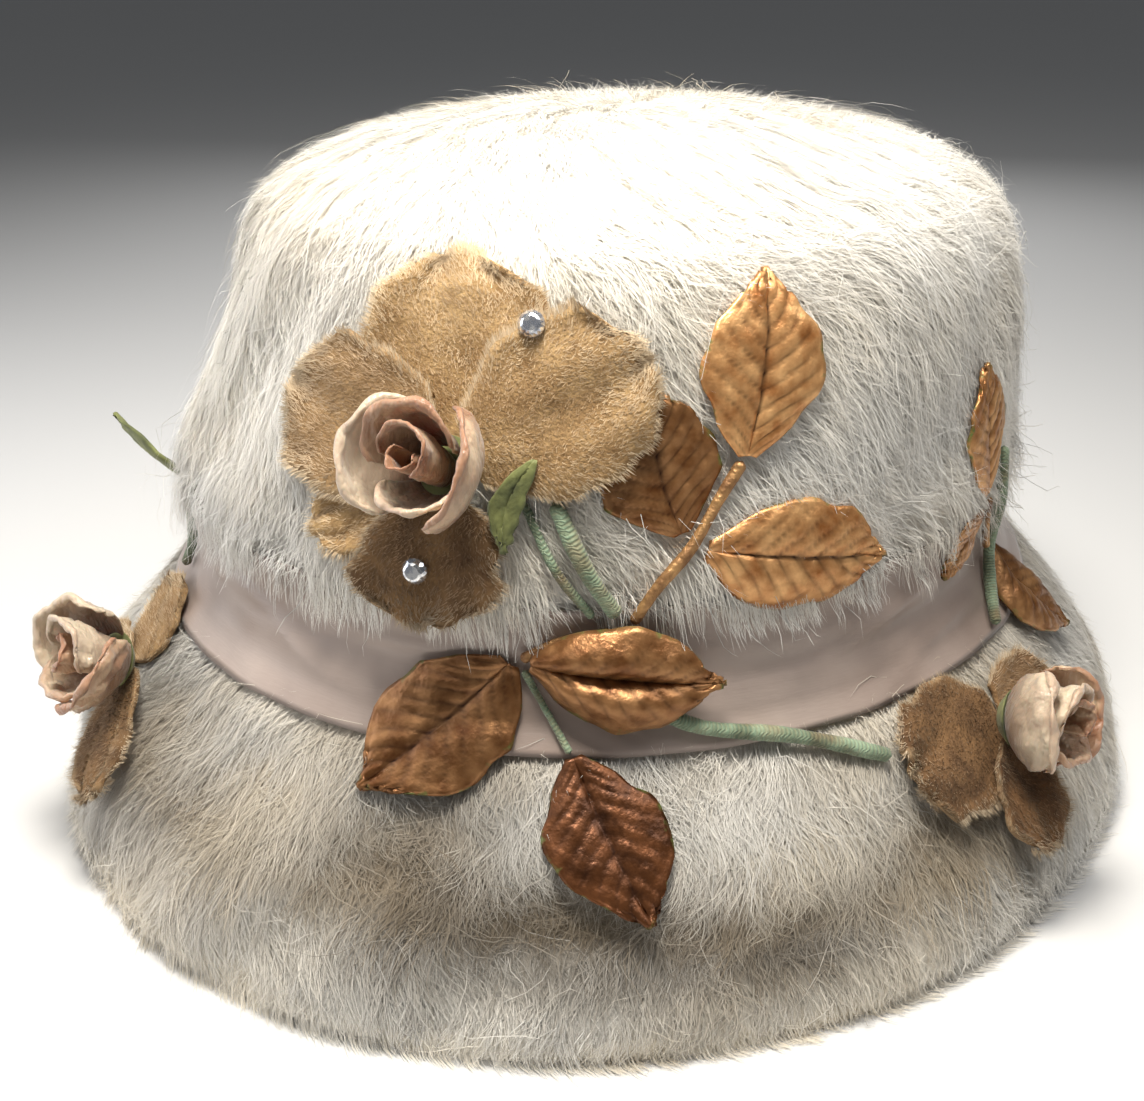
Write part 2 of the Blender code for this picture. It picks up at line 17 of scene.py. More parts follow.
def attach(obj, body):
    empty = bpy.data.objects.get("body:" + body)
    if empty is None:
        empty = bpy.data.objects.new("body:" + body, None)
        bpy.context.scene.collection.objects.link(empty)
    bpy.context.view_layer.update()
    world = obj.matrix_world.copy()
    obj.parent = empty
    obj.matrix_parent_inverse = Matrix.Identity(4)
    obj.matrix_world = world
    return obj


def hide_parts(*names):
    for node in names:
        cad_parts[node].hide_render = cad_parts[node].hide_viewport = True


# Felt body
HEM_HALF_WIDTH = 0.1210
SEAM_HALF_WIDTH = 0.0885
SEAM_HEIGHT = 0.0600
CROWN_HALF_WIDTH = 0.0900
CROWN_HEIGHT = 0.0860
OVAL_RATIO = 1.08
CROWN_LEAN = 0.0062
LEAN_AZIMUTH = 120.0
FELT_THICKNESS = 0.0026
LOCK_RELIEF = 0.0019
CLEARANCE = 0.0003

# Satin band
BAND_FALL = 0.0130
BAND_RISE = 0.0130
BAND_THICKNESS = 0.0008
BAND_FLARE = 0.0011
BAND_FOLD = 0.0012
BAND_CHORD_ROOM = CROWN_HALF_WIDTH * OVAL_RATIO * (1.0 - cos(pi / 64))

# Trimmings
LEAF_THICKNESS = 0.0007
VELVET_THICKNESS = 0.0011
SATIN_THICKNESS = 0.0006
STONE_DIAMETER = 0.0047
STONE_HEIGHT = 0.0017
CALYX_RADIUS = 0.0066
CALYX_HEIGHT = 0.0022
TRIM_MODULE = 0.0010
NORMAL_REACH = 0.009

BRIM_SECTIONS = np.array((
    # height share of SEAM_HEIGHT, flare share from the seam 0 to the hem 1
    (0.00, 1.000),
    (0.07, 0.998),
    (0.16, 0.970),
    (0.30, 0.877),
    (0.42, 0.750),
    (0.54, 0.580),
    (0.66, 0.390),
    (0.75, 0.240),
    (0.86, 0.085),
    (1.00, 0.000),
))
CROWN_SECTIONS = np.array((
    # height share of CROWN_HEIGHT, share of CROWN_HALF_WIDTH, share of CROWN_LEAN
    (0.000, 0.983, 0.00),
    (0.110, 0.985, -0.08),
    (0.165, 0.996, -0.10),
    (0.245, 0.988, 0.00),
    (0.350, 0.962, 0.27),
    (0.465, 0.936, 0.58),
    (0.570, 0.914, 0.80),
    (0.685, 0.887, 0.88),
    (0.768, 0.860, 0.84),
    (0.826, 0.822, 0.82),
    (0.884, 0.745, 0.80),
    (0.936, 0.610, 0.70),
    (0.976, 0.400, 0.60),
    (0.994, 0.170, 0.60),
    (1.000, 0.000, 0.60),
))
BRIM_DENTS = (
    # azimuth, level, reach in degrees, reach in levels, depth as a share of FELT_THICKNESS
    (14.0, 0.46, 9.0, 0.20, 1.00),
    (31.0, 0.34, 10.0, 0.16, 1.15),
    (46.0, 0.26, 8.0, 0.14, 0.95),
    (-20.0, 0.52, 12.0, 0.18, 0.60),
    (66.0, 0.42, 9.0, 0.18, 0.60),
    (150.0, 0.44, 14.0, 0.20, 0.60),
    (-110.0, 0.40, 13.0, 0.20, 0.70),
)
BAND_SECTIONS = np.array((
    # share of the band's height, share of BAND_FLARE
    (0.00, 1.00),
    (0.12, 0.80),
    (0.30, 0.28),
    (0.50, 0.00),
    (0.72, 0.00),
    (0.88, 0.25),
    (1.00, 0.55),
))
BAND_FOLDS = (
    # start azimuth, start height share, end azimuth, end height share, depth share of BAND_FOLD
    (-62.0, 0.95, 6.0, 0.22, 1.00),
    (34.0, 0.55, 82.0, 0.62, 1.00),
    (24.0, 0.22, 70.0, 0.30, 0.80),
    (96.0, 0.70, 190.0, 0.35, 0.80),
    (200.0, 0.40, 280.0, 0.75, 0.80),
)
LEAF_OUTLINE = np.array(((0.00, 0.13), (0.16, 0.60), (0.34, 0.94), (0.50, 1.00),
                         (0.70, 0.84), (0.88, 0.46), (1.00, 0.07)))
PETAL_OUTLINE = np.array(((0.00, 0.36), (0.16, 0.72), (0.38, 0.95), (0.62, 1.00),
                          (0.82, 0.86), (0.94, 0.58), (1.00, 0.32)))

CHARTS = {
    # name: azimuth and level of the point that the group's x and y are measured from
    "rose": (13.0, 1.372),
    "upper": (40.0, 1.291),
    "gather": (33.5, 1.134),
    "lower": (22.3, 1.058),
    "right": (76.0, 0.700),
    "side": (92.0, 1.023),
    "left": (-36.0, 0.600),
    "back": (-50.0, 1.100),
}

# The tables below count in TRIM_MODULE, in the group's chart: x runs to the viewer's right, y up
# the hat and lift out from the surface that the piece lies on.
BLADES = (
    # name, kind, chart, base x, base y, tip x, tip y, half width, lift at base, middle and tip,
    # edge lift, lobe lift, sideways bow, ruffle height, lightness: own colour and painted light and shade
    ("rose_velvet_top", "velvet", "rose",
-4, 7, -6.6, 41.4, 18, 0.1, 0.1, 0.9, 0.2, 0.0, 0, 0.8, 0.75),
    ("rose_velvet_lower_left", "velvet", "rose",
-11.5, -2.5, -25, -9, 6.5, 0.3, 0.3, 0.7, 0.2, 0.0, 0, 0.4, 0.70),
    ("rose_velvet_right", "velvet", "rose",
1.0, 8, 28, 25.5, 15.5, 2.0, 2.6, 1.4, 0.0, 0.4, 0, 0.8, 0.65),
    ("rose_velvet_left", "velvet", "rose",
-6.5, 7, -38, 15, 14, 2.0, 2.2, 1.6, 0.3, 0.0, 0, 0.8, 0.40),
    ("rose_velvet_bottom", "velvet", "rose",
-2, -0.5, -2, -21, 12.5, 2.0, 2.6, 4.0, 0.0, 0.0, 0, 0.9, 0.15),
    ("rose_sepal", "sepal", "rose", 12.0, 8.0, 10.5, -8.0, 2.6, 4.4, 4.6, 4.4, 0.0, 0.0, 2, 0.2, 0.50),
    ("leaf_upper_top", "leaf", "upper",
6.2, 14.8, 10.1, 46.1, 11.2, 1.5, 1.3, 0.5, 0.0, 0.7, 0, 0.5, 1.00),
    ("leaf_upper_left", "leaf", "upper",
-2.5, 1.8, -11.9, 27.2, 10.0, 0.1, 0.2, 0.3, -0.1, 0.3, -1.5, 0.4, 0.36),
    ("leaf_upper_right", "leaf", "upper",
2.4, -1.6, 37.1, -8.5, 10.3, 0.3, 1.0, 0.5, -0.6, 0.7, 0, 0.5, 0.85),
    ("leaf_lower_left", "leaf", "lower",
-3.2, -2.6, -25.0, -29.5, 12.0, 0.9, 1.2, 0.7, -0.8, 0.8, 0, 0.5, 0.30),
    ("leaf_folded", "leaf", "lower",
1.2, -1.4, 32.6, -6.9, 10.8, 3.2, 5.2, 4.6, -2.2, 3.0, 0, 0.6, 0.35),
    ("leaf_lower_tip", "leaf", "lower",
8.4, -20.0, 19.5, -49.0, 8.8, 0.8, 0.9, 1.4, 0.0, 0.6, 0, 0.4, 0.05),
    ("right_velvet_outer", "velvet", "right",
3, -5, -24, -7, 13.5, 0.1, 0.2, 1.4, 0.4, 0.0, 0, 0.6, 0.08),
    ("right_velvet_lower", "velvet", "right",
0.5, -10.5, -3, -31, 8.0, 2.0, 2.2, 3.6, 0.4, 0.0, 0, 0.6, 0.02),
    ("right_velvet_back", "velvet", "right",
4.8, -3, 22, -8, 8.0, 0.1, 0.3, 1.2, 0.4, 0.0, 0, 0.5, 0.15),
    ("side_leaf_top", "leaf", "side", -8.6, 15.5, -14.1, 43.9, 8.0, 0.1, 0.5, 0.3, 0.0, 0.5, 0, 0.3, 0.80),
    ("side_leaf_small", "leaf", "side", -9.5, 12.0, -22.8, 1.8, 5.0, 0.1, 0.4, 0.2, 0.0, 0.4, 0, 0.3, 0.60),
    ("side_leaf_curled", "leaf", "side", 4.0, -2.0, 14.0, -30.0, 8.0, 0.3, 2.4, 2.4, -1.2, 1.6, 2, 0.4, 0.40),
    ("left_velvet_upper", "velvet", "left", 1, 2, -9, 19, 11.0, 0.1, 0.2, 1.2, 0.4, 0.0, 0, 0.6, 0.40),
    ("left_velvet_lower", "velvet", "left", 3, -0.5, 21, -20, 9.0, 1.9, 2.2, 4.0, 0.4, 0.0, 0, 0.6, 0.15),
    ("left_velvet_back", "velvet", "left", -1, -1, -20, -12, 10.0, 2.0, 1.8, 1.4, 0.4, 0.0, 0, 0.6, 0.40),
    ("left_leaf", "sepal", "back", -2.0, -0.5, -9.0, 10.0, 4.4, 1.6, 8.0, 17.0, -0.8, 0.6, 0, 0.2, 0.60),
)
STEMS = (
    # name, kind, radius, points as chart, x, y and lift
    ("rose_stem", "stem", 1.6, (
        ("rose", 16.2, 0.8, 1.7), ("gather", -7.6, 10.2, 1.7), ("gather", -1.6, 1.6, 1.7))),
    ("rose_stem_thin", "stem", 0.9, (
        ("gather", -20.4, 21.5, 1.0), ("gather", -12.6, 10.0, 1.0), ("gather", -5.6, 1.0, 1.0))),
    ("upper_twig", "twig", 1.1, (
        ("gather", 0.8, -0.2, 1.7), ("gather", 4.6, 6.6, 1.4), ("upper", -0.6, -0.6, 1.2),
        ("upper", 2.8, 7.4, 1.2), ("upper", 5.8, 13.8, 1.5))),
    ("lower_twig", "twig", 1.0, (
        ("gather", -2.6, -2.4, 1.1), ("gather", -11.2, -4.4, 1.1), ("lower", -1.0, -1.8, 1.3))),
    ("lower_wire", "stem", 0.7, (
        ("lower", -0.8, -4.2, 0.8), ("lower", 3.4, -11.4, 0.8), ("lower", 7.8, -19.2, 0.9))),
    ("green_stem", "stem", 1.5, (
        ("gather", -2.0, -12.6, 1.6), ("gather", 10.1, -21.4, 1.6), ("gather", 27.3, -27.0, 1.6),
        ("right", -25.6, -2.6, 1.6))),
    ("side_stem", "stem", 1.3, (
        ("side", -2.4, 23.5, 1.4), ("side", -1.4, 12.0, 1.4), ("side", -0.6, 0.2, 1.4),
        ("side", -4.4, -8.0, 1.4), ("side", -9.4, -15.0, 1.5))),
    ("side_twig", "twig", 0.8, (
        ("side", -8.4, 14.6, 1.1), ("side", -5.8, 8.0, 1.4), ("side", -3.4, 1.0, 1.4))),
    ("left_stem", "stem", 1.2, (
        ("left", -11.0, 21.5, 1.3), ("left", -14.0, 27.5, 1.3), ("back", -1.2, -2.0, 1.6))),
)
BUDS = (
    # name, chart, x, y, lift of the calyx foot, lean to the right and up in degrees, size
    ("rose", "rose", -1.4, 4.4, 4.0, -11.0, 13.0, 1.00),
    ("right", "right", -0.5, -6.0, 4.9, 6.0, -24.0, 0.90),
    ("left", "left", 3.5, 1.5, 4.9, 20.0, -14.0, 0.94),
)
ROSE_PETALS = (
    # name, centre, half span, foot, belly and rim radius, height, rolled lip, spiral, side drop
    ("core", 250, 125, 1.7, 2.3, 2.5, 14.0, 0.2, 0.3, 0.05),
    ("throat", 60, 120, 2.9, 4.3, 4.9, 15.0, 0.4, 0.4, 0.10),
    ("top", 105, 84, 4.3, 6.9, 8.3, 14.5, 1.3, 0.5, 0.22),
    ("bottom", 270, 62, 4.3, 7.4, 8.6, 11.0, 0.9, 0.3, 0.30),
    ("right", -4, 66, 5.8, 11.6, 11.8, 14.5, 0.9, -0.5, 0.30),
    ("left", 172, 60, 5.8, 11.6, 12.2, 12.5, 1.3, 0.4, 0.30),
)
SIDE_PETALS = (
    ("core", 20, 120, 1.9, 3.2, 3.6, 15.5, 0.5, 0.5, 0.10),
    ("upper", 95, 100, 3.6, 6.4, 7.2, 15.5, 1.0, 0.6, 0.20),
    ("lower", 275, 66, 4.2, 7.4, 8.4, 13.5, 1.2, 0.4, 0.30),
    ("right", -15, 68, 5.9, 10.9, 11.8, 14.0, 1.2, 0.5, 0.30),
    ("left", 165, 68, 5.9, 10.9, 11.8, 13.5, 1.4, 0.5, 0.30),
)
PETAL_TINT_AND_SHADE = {
    # lightness of each satin petal, brown 0 to ivory 1: own colour and painted shade, darkest deep in the bud
    "core": 0.0, "throat": 0.05, "top": 0.25, "bottom": 0.85,
    "right": 0.15, "left": 1.0, "upper": 0.90, "lower": 0.55,
}
STONES = (
    # name, chart, x, y and lift of the flat back
    ("rhinestone_upper", "rose", 8.6, 30.0, 4.2),
    ("rhinestone_lower", "rose", -3.0, -12.0, 4.5),
)
STONE_RINGS = (
    # share of the radius, share of the height, turn in degrees against the ring below
    (1.00, 0.30, 0.0),
    (0.92, 0.50, 11.25),
    (0.74, 0.84, 11.25),
    (0.54, 1.00, 11.25),
)

# Camera, set to the angle that the hat is seen from
VIEW_AZIMUTH = 30.0
VIEW_PITCH = 24.0
VIEW_DISTANCE = 0.364
VIEW_SIDE = -0.0076
VIEW_HEIGHT = 0.0418
LENS = 47.2

# Fur: how many locks and hairs, and their sizes
SEED = 11
FUR_REGIONS = (
    # name, lowest and highest level, first and last azimuth, locks, hairs in a lock, hair length,
    # standing height, short fuzz hairs
    ("fur_crown_top", 1.80, 2.00, 0.0, 360.0, 1350, 10, 0.0140, 0.0018, 13000),
    ("fur_crown_front", 1.152, 1.84, -60.0, 120.0, 2500, 10, 0.0140, 0.0019, 26000),
    ("fur_crown_back", 1.152, 1.84, 120.0, 300.0, 2150, 9, 0.0140, 0.0019, 20000),
    ("fur_brim_front", 0.00, 0.83, -60.0, 120.0, 2400, 9, 0.0100, 0.0012, 30000),
    ("fur_brim_back", 0.00, 0.83, 120.0, 300.0, 1850, 9, 0.0100, 0.0012, 20000),
)
HAIR_WIDTH = 0.00014
HAIR_KNOTS = 5
LOCK_RADIUS = 0.0021
FUZZ_LENGTH = 0.0045
STRAY_SHARE = 0.05
LOWEST_HAIR = 0.0004
TRIM_GAP = 0.0013
NAP_LENGTH = 0.0014
NAP_WIDTH = 0.00022
NAP_DENSITY = 7.0e6
# slot and material
MOHAIR_FINISH = ("mohair_felt", "mohair_hair")
NAP_FINISH = ("velvet", "velvet_nap")


def eased(start, end, at):
    share = np.clip((at - start) / (end - start), 0.0, 1.0)
    return share * share * (3.0 - 2.0 * share)


def column(table, at, index=1):
    return np.interp(at, table[:, 0], table[:, index])


# Carrier surface: the felt and what lies on it

def felt_section(level):
    """Height, half width and lean of the felt's outer face at a level."""
    level = np.asarray(level, dtype=float)
    flare = column(BRIM_SECTIONS, level)
    brim_width = SEAM_HALF_WIDTH + flare * (HEM_HALF_WIDTH - SEAM_HALF_WIDTH)
    share = np.clip(level - 1.0, 0.0, 1.0)
    crown_width = column(CROWN_SECTIONS, share) * CROWN_HALF_WIDTH
    lean = column(CROWN_SECTIONS, share, 2) * CROWN_LEAN
    above = level > 1.0
    height = np.where(above, SEAM_HEIGHT + share * CROWN_HEIGHT, level * SEAM_HEIGHT)
    return height, np.where(above, crown_width, brim_width), np.where(above, lean, 0.0)


def on_oval(azimuth, height, half_width, lean):
    turn = np.radians(azimuth)
    x = half_width * np.sin(turn) + lean * sin(radians(LEAN_AZIMUTH))
    y = -half_width * OVAL_RATIO * np.cos(turn) - lean * cos(radians(LEAN_AZIMUTH))
    return np.stack(np.broadcast_arrays(x, y, height), axis=-1)


def band_share(height):
    foot = SEAM_HEIGHT - BAND_FALL
    top = SEAM_HEIGHT + BAND_RISE
    below = eased(foot - 0.3 * BAND_FALL, foot, height)
    above = eased(top - 0.1 * BAND_RISE, top + 0.3 * BAND_RISE, height)
    return below * (1.0 - above)


def fold_height(azimuth, share):
    rise = np.zeros(np.broadcast(azimuth, share).shape)
    for start, start_share, end, end_share, depth in BAND_FOLDS:
        along = np.mod(azimuth - start, 360.0) / (end - start)
        middle = start_share + (end_share - start_share) * along
        ridge = np.exp(-((share - middle) / 0.15) ** 2)
        fade = np.sin(pi * np.clip(along, 0.0, 1.0)) ** 0.6
        rise = np.maximum(rise, np.where(along < 1.0, depth * BAND_FOLD * ridge * fade, 0.0))
    return rise


def band_rise(share):
    return CLEARANCE + BAND_CHORD_ROOM + BAND_FLARE * column(BAND_SECTIONS, share)


def height_share(height):
    return np.clip((height - SEAM_HEIGHT + BAND_FALL) / (BAND_FALL + BAND_RISE), 0.0, 1.0)


def cover_section(level, azimuth=None):
    """The surface that trimmings lie on: clear of the fur, or of the band and its folds."""
    height, half_width, lean = felt_section(level)
    share = height_share(height)
    fur = LOCK_RELIEF + CLEARANCE
    band = band_rise(share) + BAND_THICKNESS + CLEARANCE
    if azimuth is not None:
        band = band + fold_height(azimuth, share)
    return height, half_width + fur + band_share(height) * (band - fur), lean


METER_LEVELS = np.linspace(0.0, 1.98, 161)
METER_HEIGHTS, METER_WIDTHS, _ = cover_section(METER_LEVELS)
METER_RUNS = np.concatenate(([0.0], np.cumsum(np.hypot(np.diff(METER_HEIGHTS), np.diff(METER_WIDTHS)))))


def chart_points(chart, x, y, lift):
    """Points x to the right of the chart's anchor, y up the hat and lift off its cover."""
    azimuth, level = CHARTS[chart]
    turn = azimuth + np.degrees(x / float(felt_section(level)[1]))
    length = np.interp(level, METER_LEVELS, METER_RUNS) + y

    def at(run, folds=False, shift=0.0):
        place = np.interp(run, METER_RUNS, METER_LEVELS)
        return on_oval(turn + shift, *cover_section(place, turn if folds else None))

    rise = at(length + NORMAL_REACH) - at(length - NORMAL_REACH)
    side = at(length, shift=4.0) - at(length, shift=-4.0)
    out = np.cross(side, rise)
    out /= np.linalg.norm(out, axis=-1, keepdims=True)
    return at(length, folds=True) + out * np.asarray(lift)[..., None]


def on_chart(chart, x, y, lift):
    """The same for sizes that count in TRIM_MODULE."""
    return chart_points(chart, x * TRIM_MODULE, y * TRIM_MODULE, lift * TRIM_MODULE)


def fur_relief(azimuth, level, height):
    turn = np.radians(azimuth)
    broad = np.sin(9.0 * turn + 5.5 * level) * 0.5
    locks = np.sin(14.0 * turn - 9.0 * level + 1.7 * np.sin(3.0 * turn))
    shape = np.clip(0.75 + 0.35 * broad + 0.55 * locks, 0.0, 1.0)
    crest = 1.0 - eased(1.86, 1.99, level)
    hem = eased(0.0, 0.12, level)
    return LOCK_RELIEF * shape * crest * hem * (1.0 - band_share(height))


def dent_depth(azimuth, level):
    depth = np.zeros(np.broadcast(azimuth, level).shape)
    for centre, centre_level, reach, level_reach, share in BRIM_DENTS:
        off = np.mod(azimuth - centre + 180.0, 360.0) - 180.0
        away = (off / reach) ** 2 + ((level - centre_level) / level_reach) ** 2
        depth += share * FELT_THICKNESS * np.exp(-away)
    return depth


def dressed_section(azimuth, level, worn=1.0):
    """The face that the hair lies on: the felt with its locks and dents, or where it is worn, the band."""
    height, half_width, lean = felt_section(level)
    share = height_share(height)
    band = worn * (band_rise(share) + BAND_THICKNESS + fold_height(azimuth, share))
    covered = band_share(height) * eased(0.85, 0.93, level)
    relief = fur_relief(azimuth, level, height) - dent_depth(azimuth, level)
    return height, half_width + relief * (half_width > 0.0) + covered * band, lean


# Mesh helpers

def finish_mesh(name, bm, slot, smooth=True):
    if not any(edge.is_boundary for edge in bm.edges):
        bmesh.ops.recalc_face_normals(bm, faces=bm.faces)
    mesh = bpy.data.meshes.new(name)
    bm.to_mesh(mesh)
    bm.free()
    if smooth:
        mesh.shade_smooth()
    return add_piece(name, mesh, slot)


def add_piece(name, mesh, slot, finish=None):
    item = bpy.data.objects.new(name, mesh)
    bpy.context.collection.objects.link(item)
    mesh.materials.append(FINISHES[finish or slot])
    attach(item, "root")
    return item


def bent_grid(name, columns, rows, shape, slot, marks=None):
    """A grid bent by shape(u, v), with u and v from 0 to 1; marks(u, v) gives named point values."""
    bm = bmesh.new()
    bmesh.ops.create_grid(bm, x_segments=columns, y_segments=rows, size=1.0)
    flat = np.array([vert.co[:2] for vert in bm.verts]) * 0.5 + 0.5
    places = shape(flat[:, 0], flat[:, 1])
    values = marks(flat[:, 0], flat[:, 1]) if marks else {}
    layers = {key: bm.verts.layers.float.new(key) for key in values}
    for index, vert in enumerate(bm.verts):
        vert.co = places[index]
        for key, layer in layers.items():
            vert[layer] = float(values[key][index])
    bmesh.ops.remove_doubles(bm, verts=bm.verts, dist=0.000001)
    return finish_mesh(name, bm, slot)


def thicken(item, thickness, offset):
    solid = item.modifiers.new("Thickness", "SOLIDIFY")
    solid.thickness = thickness
    solid.offset = offset
    return item


# Trimmings

def ripple(u, v, seed, waves):
    """A gentle uneven wave over a petal or leaf, from -1 to 1."""
    wave = np.sin(waves * pi * v + seed) * np.cos(0.7 * waves * pi * u + 1.7 * seed)
    return 0.6 * wave + 0.4 * np.sin(1.9 * waves * pi * (u + 0.6 * v) + 2.3 * seed)


def vein_relief(across, v):
    """Stamped veins: a groove along the middle, grooves slanting off it and puffed cloth between."""
    slant = v * 9.0 - np.abs(across) * 2.6
    side_vein = np.abs(np.mod(slant, 1.0) - 0.5) * 2.0
    puff = 1.0 - side_vein ** 2
    rim_fade = 1.0 - np.abs(across) ** 4
    middle = np.exp(-(across / 0.07) ** 2)
    # the second value marks the grooves, which the leaf finish darkens as painted shade
    return 0.34 * puff * rim_fade * (1.0 - middle) - 0.30 * middle, side_vein ** 3 * rim_fade + middle


def blade(row, index):
    name, kind, chart, x0, y0, x1, y1, half_width, lift0, lift1, lift2, edge, lobe, bow, ruffle, tint_and_shade = row
    outline = PETAL_OUTLINE if kind == "velvet" else LEAF_OUTLINE
    length = np.hypot(x1 - x0, y1 - y0)
    along_x, along_y = (x1 - x0) / length, (y1 - y0) / length
    seed = 0.9 + 1.3 * index

    def shape(u, v):
        across = 2.0 * u - 1.0
        wobble = 1.0 + 0.045 * np.sin(11.0 * v + seed) * np.abs(across)
        wobble = wobble + 0.03 * np.sin(23.0 * v + 2.0 * seed)
        reach = across * half_width * column(outline, v) * wobble + bow * np.sin(pi * v)
        tip_sag = 0.05 * length * across ** 2 * eased(0.7, 1.0, v)
        x = x0 + (x1 - x0) * v + reach * along_y - along_x * tip_sag
        y = y0 + (y1 - y0) * v - reach * along_x - along_y * tip_sag
        lift = lift0 * (1 - v) * (1 - 2 * v) + 4 * lift1 * v * (1 - v) + lift2 * v * (2 * v - 1)
        arch = np.sin(pi * np.minimum(v + 0.1, 1.0))
        lift = lift + (edge * across ** 2 + lobe * np.sin(pi * np.abs(across))) * arch
        rim = np.maximum(np.abs(across), eased(0.75, 1.0, v)) ** 3
        lift = lift + ruffle * rim * (0.5 + 0.5 * ripple(u, v, seed, 4.0)) * eased(0.1, 0.4, v)
        if kind != "velvet":
            lift = lift + vein_relief(across, v)[0] * eased(0.0, 0.15, v)
            lift = lift + 0.22 * ripple(u, v, seed + 4.0, 9.0) * eased(0.1, 0.4, v)
        else:
            lift = lift + 0.3 * ripple(u, v, seed + 2.0, 2.0)
            lift = lift + 0.5 * (1.0 + np.sin(7.0 * across + seed)) * eased(0.15, 0.9, v)
        return on_chart(chart, x, y, np.maximum(lift, 0.0))

    def marks(u, v):
        across = 2.0 * u - 1.0
        return {
            "rim": np.maximum(np.abs(across), eased(0.7, 1.0, v)),
            # groove mark for the painted shade in the veins
            "vein_shade": vein_relief(across, v)[1],
            # lightness of the piece: partly its own colour, partly painted light and shade
            "tint_and_shade": np.full_like(u, tint_and_shade),
        }

    slot = {"leaf": "bronze_leaf", "velvet": "velvet", "sepal": "sepal_green"}[kind]
    fine = {"leaf": (24, 50), "velvet": (20, 28), "sepal": (12, 24)}[kind]
    item = bent_grid(name + "_fine", *fine, shape, slot, marks)
    thicken(item, VELVET_THICKNESS if kind == "velvet" else LEAF_THICKNESS, 1.0)
    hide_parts(name)
    if kind == "velvet":
        area = 1.6 * half_width * length * TRIM_MODULE ** 2
        velvet_nap(name + "_nap", shape, int(NAP_DENSITY * area), tint_and_shade, index)
    return item


def velvet_nap(name, shape, count, tint_and_shade, seed):
    """The pile of a velvet petal: short strands that lie towards its tip and bristle at its rim."""
    chance = np.random.default_rng(SEED + seed)
    u, v = chance.uniform(0.0, 1.0, count), chance.uniform(0.0, 1.0, count) ** 0.9
    rim_line = chance.random(count) < 0.22
    u = np.where(rim_line, np.where(u < 0.5, 0.04 * u, 1.0 - 0.04 * u), u)
    tip_line = chance.random(count) < 0.12
    v = np.where(tip_line, 1.0 - 0.05 * v, v)
    step = 0.01
    spot = shape(u, v)
    side = shape(np.minimum(u + step, 1.0), v) - shape(np.maximum(u - step, 0.0), v)
    ahead = shape(u, np.minimum(v + step, 1.0)) - shape(u, np.maximum(v - step, 0.0))
    side /= np.maximum(np.linalg.norm(side, axis=1, keepdims=True), 1e-9)
    ahead /= np.maximum(np.linalg.norm(ahead, axis=1, keepdims=True), 1e-9)
    out = np.cross(side, ahead)
    out /= np.maximum(np.linalg.norm(out, axis=1, keepdims=True), 1e-9)
    out *= np.sign(out @ np.array((spot[:, 0].mean(), spot[:, 1].mean(), 0.02)))[:, None]
    across = 2.0 * u - 1.0
    rim = np.maximum(np.abs(across), v) ** 6
    patch = ripple(u, v, 1.7 * seed, 3.0)
    lean = 0.5 * patch + chance.normal(0.0, 0.35, count)
    lean = lean + np.where(rim_line, 2.4, 1.6) * across * np.abs(across) ** 5
    way = ahead * (0.55 + 0.3 * v)[:, None] + side * lean[:, None]
    way += out * chance.uniform(0.25, 0.9, count)[:, None]
    way /= np.linalg.norm(way, axis=1, keepdims=True)
    reach = NAP_LENGTH * chance.uniform(0.6, 1.2, count) * (1.0 + 0.5 * rim)
    sunk = np.where(rim_line | tip_line, chance.uniform(0.1, 0.9, count), 0.9)
    roots = spot + out * (sunk * VELVET_THICKNESS)[:, None]
    knots = np.stack((roots, roots + way * reach[:, None]), axis=1)
    outs = np.stack((out, out), axis=1)
    tone = np.clip(0.45 + 0.35 * patch + chance.normal(0.0, 0.18, count), 0.0, 1.0)
    # the lightness mark is partly the velvet's colour, partly painted light and shade
    marks = {"tone": tone, "rim": np.clip(rim * chance.uniform(0.4, 1.3, count), 0.0, 1.0),
             "tint_and_shade": np.full(count, tint_and_shade)}
    hair_mesh(name, knots, outs, NAP_WIDTH, marks, NAP_FINISH, chance)


def smooth_route(points, steps):
    ends = [points[0] * 2 - points[1], *points, points[-1] * 2 - points[-2]]
    route = []
    for a, b, c, d in zip(ends, ends[1:], ends[2:], ends[3:]):
        for step in range(steps):
            t = step / steps
            route.append(0.5 * (2 * b + (c - a) * t + (2 * a - 5 * b + 4 * c - d) * t ** 2
                                + (3 * b - a - 3 * c + d) * t ** 3))
    return np.array([*route, points[-1]])


def stem(name, kind, radius, points):
    """A wire wound with thread: a tube whose skin carries the turns of the thread."""
    knots = [on_chart(*point) for point in points]
    route = smooth_route(knots, 14)
    tangent = np.gradient(route, axis=0)
    tangent /= np.linalg.norm(tangent, axis=1, keepdims=True)
    side = np.cross(tangent, (0.13, 0.21, 0.97))
    side /= np.linalg.norm(side, axis=1, keepdims=True)
    rise = np.cross(side, tangent)
    run = np.concatenate(([0.0], np.cumsum(np.linalg.norm(np.diff(route, axis=0), axis=1))))

    def along_route(values, place):
        return np.stack([np.interp(place, range(len(route)), line) for line in values.T], axis=1)

    def shape(u, v):
        place = v * (len(route) - 1)
        spot = along_route(route, place)
        out_side = along_route(side, place)
        out_rise = along_route(rise, place)
        length = np.interp(place, range(len(route)), run)
        turn = 2.0 * pi * u
        ends = np.minimum(length, run[-1] - length) / (radius * TRIM_MODULE)
        swell = 1.0 + 0.02 * np.sin(turn + length * 1900.0) + 0.07 * np.sin(length * 330.0 + 3.0 * radius)
        size = radius * TRIM_MODULE * swell * np.sqrt(np.clip(ends * 1.5 + 0.02, 0.0, 1.0)) * 0.96
        return spot + (out_side * np.cos(turn)[:, None] + out_rise * np.sin(turn)[:, None]) * size[:, None]

    def marks(u, v):
        return {"along": v * run[-1] * 1000.0, "around": u}

    slot = "green_wrap" if kind == "stem" else "bronze_twig"
    item = bent_grid(name + "_wound", 12, 15 * len(points), shape, slot, marks)
    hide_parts(name)
    return item


